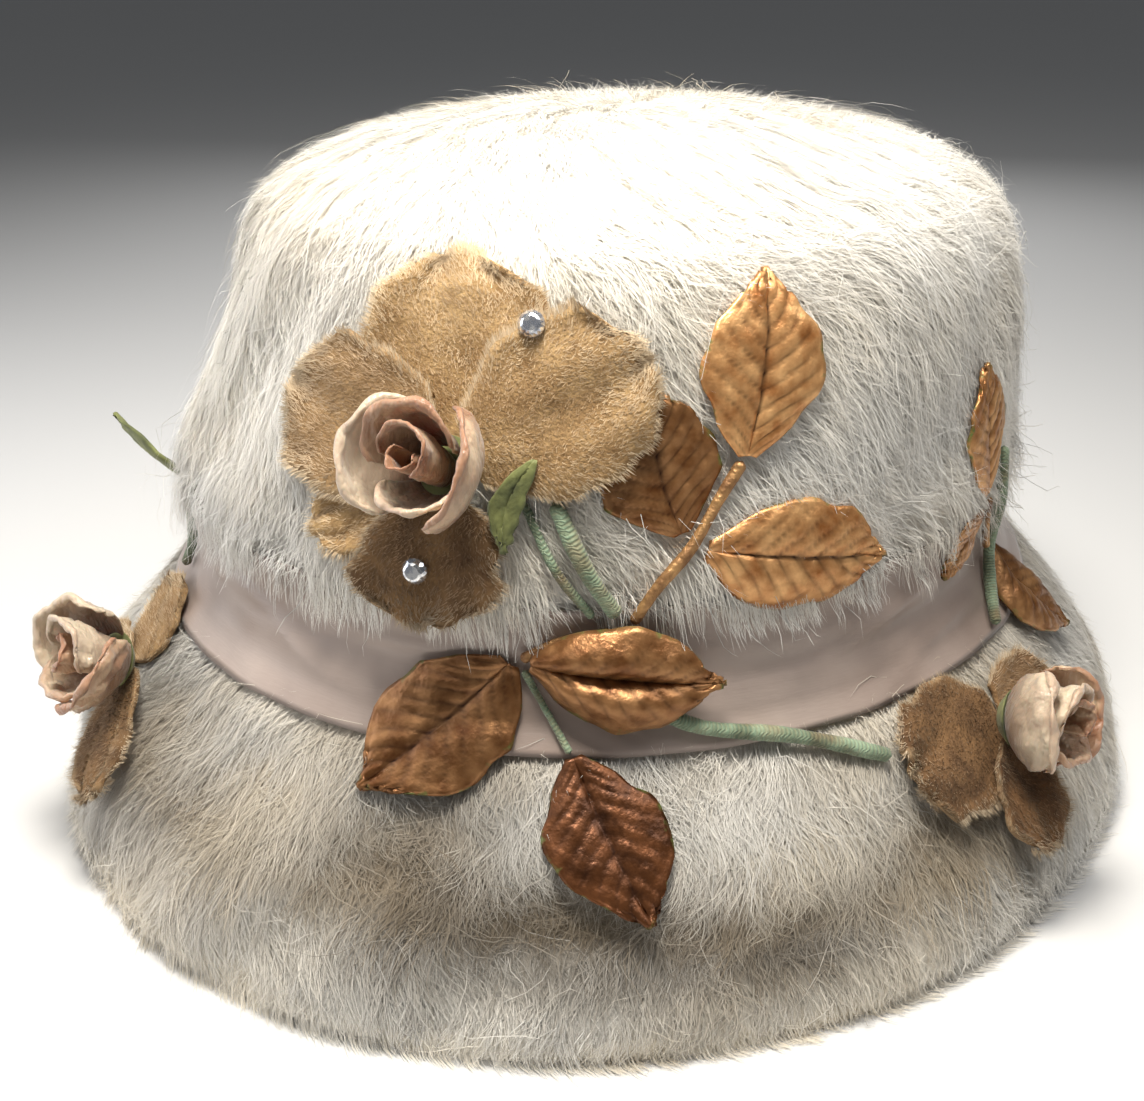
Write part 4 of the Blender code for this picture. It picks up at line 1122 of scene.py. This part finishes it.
def make_finishes():
    mottle, grain, worn = mottle_group(), grain_group(), worn_group()

    tree, shader, _ = start_material("mohair_hair", Roughness=0.62, Sheen_Weight=0.25, Sheen_Roughness=0.5)
    colour = pile_colour(tree, mark(tree, "tone"), mark(tree, "warm"), mark(tree, "along"))
    tree.links.new(colour, shader.inputs["Base Color"])

    tree, shader, place = start_material("mohair_felt", Roughness=0.95, Sheen_Weight=0.2)
    fibre = use_group(tree, grain, Vector=place, Scale=1100.0, Stretch=(1.0, 1.0, 0.35))["Height"]
    along = math(tree, "MULTIPLY_ADD", fibre, 2.4, -1.4)
    colour = pile_colour(tree, mark(tree, "tone"), mark(tree, "warm"), along)
    tree.links.new(colour, shader.inputs["Base Color"])
    bump(tree, shader, fibre, 0.7, 0.0006)

    tree, shader, place = start_material(
        "satin_ribbon",Sheen_Weight=0.25, Sheen_Roughness=0.35, Specular_IOR_Level=0.5)
    patch = use_group(tree, mottle, Vector=place, Scale=26.0, Contrast=1.8,
                      Low=(0.27, 0.20, 0.165, 1.0), High=(0.52, 0.425, 0.375, 1.0))
    tree.links.new(patch["Color"], shader.inputs["Base Color"])
    tree.links.new(math(tree, "MULTIPLY_ADD", patch["Mask"], 0.14, 0.32), shader.inputs["Roughness"])
    weave = use_group(tree, grain, Vector=place, Scale=900.0, Stretch=(0.35, 0.35, 2.6))["Height"]
    bump(tree, shader, weave, 0.35, 0.00012)

    tree, shader, place = start_material(
        "velvet", Roughness=0.9, Sheen_Weight=0.2, Sheen_Roughness=0.35,
Sheen_Tint=(0.95, 0.70, 0.40, 1.0))
    # lightness per petal: partly the velvet's colour, partly painted light and shade
    tint_and_shade = mark(tree, "tint_and_shade")
    low = blended(tree, tint_and_shade, (0.055, 0.022, 0.008, 1.0), (0.36, 0.21, 0.082, 1.0))
    high = blended(tree, tint_and_shade, (0.20, 0.098, 0.036, 1.0), (0.66, 0.45, 0.21, 1.0))
    patch = use_group(tree, mottle, Vector=place, Scale=170.0, Contrast=2.6, Low=low, High=high)
    rub = use_group(tree, worn, Vector=place, Rim=mark(tree, "rim"), Start=0.92, Scale=420.0)["Mask"]
    colour = blended(tree, math(tree, "MULTIPLY", rub, 0.3), patch["Color"], (0.62, 0.46, 0.27, 1.0))
    tree.links.new(colour, shader.inputs["Base Color"])
    bump(tree, shader, use_group(tree, grain, Vector=place, Scale=1500.0)["Height"], 0.8, 0.0005)

    tree, shader, _ = start_material(
        "velvet_nap",Roughness=0.75, Sheen_Weight=0.3, Sheen_Tint=(1.0, 0.85, 0.6, 1.0))
    # lightness per petal: partly the pile's colour, partly painted light and shade
    tint_and_shade, tone = mark(tree, "tint_and_shade"), mark(tree, "tone")
    low = blended(tree, tint_and_shade, (0.080, 0.034, 0.012, 1.0), (0.45, 0.265, 0.105, 1.0))
    high = blended(tree, tint_and_shade, (0.30, 0.155, 0.065, 1.0), (0.94, 0.74, 0.47, 1.0))
    edge = math(tree, "MULTIPLY", mark(tree, "rim"), 0.55)
    pale = blended(tree, edge, blended(tree, tone, low, high), (0.84, 0.72, 0.52, 1.0))
    tree.links.new(pale, shader.inputs["Base Color"])

    tree, shader, place = start_material(
        "bud_satin",Sheen_Weight=0.2, Specular_IOR_Level=0.5, Subsurface_Weight=0.06)
    shader.inputs["Subsurface Scale"].default_value = 0.002
    patch = use_group(tree, mottle, Vector=place, Scale=105.0, Contrast=4.0,
                      Low=(0.36, 0.165, 0.085, 1.0), High=(0.80, 0.60, 0.40, 1.0))
    along, tint_and_shade = mark(tree, "along"), mark(tree, "tint_and_shade")
    # towards ivory by lightness: partly the petal's colour, partly painted shade
    lighter = blended(tree, math(tree, "MULTIPLY", tint_and_shade, 0.75), patch["Color"], (0.90, 0.80, 0.62, 1.0))
    # painted shade: the petal darkens towards its foot, deep in the bud
    depth = math(tree, "POWER", math(tree, "SUBTRACT", 1.0, along), 1.2)
    shaded_foot = blended(tree, math(tree, "MULTIPLY", depth, 0.95), lighter, (0.11, 0.040, 0.014, 1.0))
    lip = math(tree, "MULTIPLY", math(tree, "SUBTRACT", along, 0.74), 6.0, clamp=True)
    tinge = math(tree, "MULTIPLY", lip, math(tree, "MULTIPLY_ADD", tint_and_shade, -0.55, 0.85))
    tree.links.new(blended(tree, tinge, shaded_foot, (0.38, 0.18, 0.10, 1.0)), shader.inputs["Base Color"])
    tree.links.new(math(tree, "MULTIPLY_ADD", patch["Mask"], 0.10, 0.27), shader.inputs["Roughness"])
    crumpled = use_group(tree, grain, Vector=place, Scale=230.0, Stretch=(1.0, 1.0, 0.5))["Height"]
    weave = use_group(tree, grain, Vector=place, Scale=1500.0, Stretch=(1.0, 1.0, 0.3))["Height"]
    bump(tree, shader, math(tree, "MULTIPLY_ADD", weave, 0.12, crumpled), 0.9, 0.0022)

    tree, shader, place = start_material("bronze_leaf")
    # lightness per leaf: partly the bronze paint's colour, partly painted light and shade
    tint_and_shade = mark(tree, "tint_and_shade")
    low = blended(tree, tint_and_shade, (0.024, 0.007, 0.002, 1.0), (0.48, 0.18, 0.050, 1.0))
    high = blended(tree, tint_and_shade, (0.16, 0.045, 0.011, 1.0), (1.0, 0.58, 0.25, 1.0))
    patch = use_group(tree, mottle, Vector=place, Scale=240.0, Contrast=2.4, Low=low, High=high)
    # painted shade: dark brown in the vein grooves
    vein_shade = math(tree, "MULTIPLY", mark(tree, "vein_shade"), 0.6)
    groove = blended(tree, vein_shade, patch["Color"], (0.045, 0.016, 0.007, 1.0))
    rub = use_group(tree, worn, Vector=place, Rim=mark(tree, "rim"), Start=0.98, Scale=520.0)["Mask"]
    tree.links.new(blended(tree, rub, groove, (0.13, 0.17, 0.045, 1.0)), shader.inputs["Base Color"])
    tree.links.new(math(tree, "MULTIPLY_ADD", rub, -0.4, 0.60), shader.inputs["Metallic"])
    tree.links.new(math(tree, "MULTIPLY_ADD", patch["Mask"], 0.16, 0.28), shader.inputs["Roughness"])
    bump(tree, shader, use_group(tree, grain, Vector=place, Scale=1000.0)["Height"], 0.5, 0.0003)

    tree, shader, place = start_material("green_wrap", Roughness=0.7, Sheen_Weight=0.3)
    thread = math(tree, "MULTIPLY_ADD", thread_wave(tree, 8.4), 0.5, 0.5)
    patch = use_group(tree, mottle, Vector=place, Scale=190.0, Contrast=3.4,
                      Low=(0.06, 0.095, 0.050, 1.0), High=(0.27, 0.38, 0.25, 1.0))
    shade = blended(tree, math(tree, "MULTIPLY", thread, 0.4), patch["Color"], (0.27, 0.27, 0.15, 1.0))
    rusty = use_group(tree, worn, Vector=place, Rim=0.5, Start=0.50, Scale=170.0)["Mask"]
    colour = blended(tree, math(tree, "MULTIPLY", rusty, 0.5), shade, (0.25, 0.12, 0.048, 1.0))
    tree.links.new(colour, shader.inputs["Base Color"])
    fibres = use_group(tree, grain, Vector=place, Scale=1300.0)["Height"]
    bump(tree, shader, math(tree, "MULTIPLY_ADD", thread, 0.6, fibres), 0.8, 0.00025)

    tree, shader, place = start_material("bronze_twig")
    patch = use_group(tree, mottle, Vector=place, Scale=300.0, Contrast=2.6,
                      Low=(0.14, 0.055, 0.02, 1.0), High=(0.62, 0.36, 0.15, 1.0))
    tree.links.new(patch["Color"], shader.inputs["Base Color"])
    tree.links.new(math(tree, "MULTIPLY_ADD", patch["Mask"], 0.35, 0.35), shader.inputs["Metallic"])
    tree.links.new(math(tree, "MULTIPLY_ADD", patch["Mask"], -0.15, 0.58), shader.inputs["Roughness"])
    knobs = use_group(tree, grain, Vector=place, Scale=500.0)["Height"]
    bump(tree, shader, math(tree, "MULTIPLY_ADD", thread_wave(tree, 5.6), 0.025, knobs), 0.9, 0.0008)

    tree, shader, place = start_material("sepal_green", Roughness=0.65, Sheen_Weight=0.15)
    patch = use_group(tree, mottle, Vector=place, Scale=210.0, Contrast=2.6,
                      Low=(0.06, 0.07, 0.02, 1.0), High=(0.24, 0.26, 0.08, 1.0))
    tree.links.new(patch["Color"], shader.inputs["Base Color"])
    bump(tree, shader, use_group(tree, grain, Vector=place, Scale=800.0)["Height"], 0.6, 0.0003)

    tree, shader, place = start_material("crystal", IOR=1.56, Transmission_Weight=0.30, Metallic=0.75)
    # painted glints: sharp white and blue-grey patches in the base colour stand for sparkle
    patch = use_group(tree, mottle, Vector=place, Scale=700.0, Contrast=9.0,
                      Low=(0.55, 0.58, 0.66, 1.0), High=(1.0, 1.0, 1.0, 1.0))
    tree.links.new(patch["Color"], shader.inputs["Base Color"])
    tree.links.new(math(tree, "MULTIPLY_ADD", patch["Mask"], 0.04, 0.01), shader.inputs["Roughness"])

    tree, shader, place = start_material("studio_floor", Roughness=0.9)
    patch = use_group(tree, mottle, Vector=place, Scale=3.0, Contrast=0.6,
                      Low=(0.76, 0.755, 0.745, 1.0), High=(0.80, 0.795, 0.785, 1.0))
    tree.links.new(patch["Color"], shader.inputs["Base Color"])


# Studio

def area_light(name, place, aim, size, power, colour, spread=180.0):
    lamp = bpy.data.lights.new(name, "AREA")
    lamp.shape = "DISK"
    lamp.size = size
    lamp.energy = power
    lamp.spread = radians(spread)
    lamp.color = colour
    item = bpy.data.objects.new(name, lamp)
    bpy.context.collection.objects.link(item)
    item.location = place
    item.rotation_euler = (Vector(aim) - Vector(place)).to_track_quat("-Z", "Y").to_euler()
    item.visible_camera = False


def studio():
    bpy.context.scene.view_settings.view_transform = "Standard"
    area_light("key_from_above", (0.04, -0.13, 0.46), (0.0, -0.02, 0.12), 0.16, 1.05, (1.0, 0.955, 0.875), 110.0)
    area_light("fill_front", (-0.15, -0.50, 0.62), (0.0, 0.0, 0.06), 0.5, 0.75, (1.0, 0.975, 0.93))
    area_light("fill_left", (-0.43, -0.25, 0.18), (0.0, 0.0, 0.07), 0.5, 1.35, (0.96, 0.97, 1.0))
    area_light("fill_right", (0.32, 0.02, 0.58), (0.03, 0.0, 0.07), 0.4, 1.4, (0.99, 0.98, 0.97))
    area_light("back_rim", (-0.25, 0.60, 0.42), (0.0, 0.0, 0.08), 0.5, 1.0, (1.0, 1.0, 1.0))
    world = bpy.data.worlds.new("pale_room")
    world.use_nodes = True
    world.node_tree.nodes["Background"].inputs["Color"].default_value = (0.86, 0.89, 0.93, 1.0)
    world.node_tree.nodes["Background"].inputs["Strength"].default_value = 0.10
    bpy.context.scene.world = world

    bm = bmesh.new()
    bmesh.ops.create_grid(bm, x_segments=8, y_segments=8, size=3.0)
    mesh = bpy.data.meshes.new("studio_floor")
    bm.to_mesh(mesh)
    bm.free()
    mesh.materials.append(FINISHES["studio_floor"])
    floor = bpy.data.objects.new("studio_floor", mesh)
    bpy.context.collection.objects.link(floor)


def camera():
    turn, pitch = radians(VIEW_AZIMUTH), radians(VIEW_PITCH)
    ahead = Vector((-sin(turn) * cos(pitch), cos(turn) * cos(pitch), -sin(pitch)))
    aim = Vector((VIEW_SIDE * cos(turn), VIEW_SIDE * sin(turn), VIEW_HEIGHT))
    lens = bpy.data.cameras.new("view")
    lens.lens = LENS
    lens.sensor_width = 36.0
    item = bpy.data.objects.new("view", lens)
    bpy.context.collection.objects.link(item)
    item.location = aim - ahead * VIEW_DISTANCE
    item.rotation_euler = ahead.to_track_quat("-Z", "Y").to_euler()
    bpy.context.scene.camera = item


def dress_hat():
    for node in ("crown", "brim"):
        felt_body(node)
    trims = [hat_band()]
    trims += [blade(row, index) for index, row in enumerate(BLADES)]
    trims += [stem(*row) for row in STEMS]
    for name, *seat, size in BUDS:
        trims += bud(name, *seat, size)
        calyx(f"{name}_calyx", bud_frame(*seat), size)
    for row in STONES:
        stone(*row)
    bpy.context.view_layer.update()
    grid = free_heights([item for item in trims if item.name != "ribbon_band"])
    chance = np.random.default_rng(SEED)
    for row in FUR_REGIONS:
        fur(*row, grid, chance)


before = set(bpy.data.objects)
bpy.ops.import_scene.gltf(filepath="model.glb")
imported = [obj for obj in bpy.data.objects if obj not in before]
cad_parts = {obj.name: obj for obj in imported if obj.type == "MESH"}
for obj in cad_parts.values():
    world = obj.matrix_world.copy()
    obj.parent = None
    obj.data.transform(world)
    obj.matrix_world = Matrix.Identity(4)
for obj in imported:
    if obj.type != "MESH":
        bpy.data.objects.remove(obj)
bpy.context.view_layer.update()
make_finishes()
camera()
dress_hat()
studio()
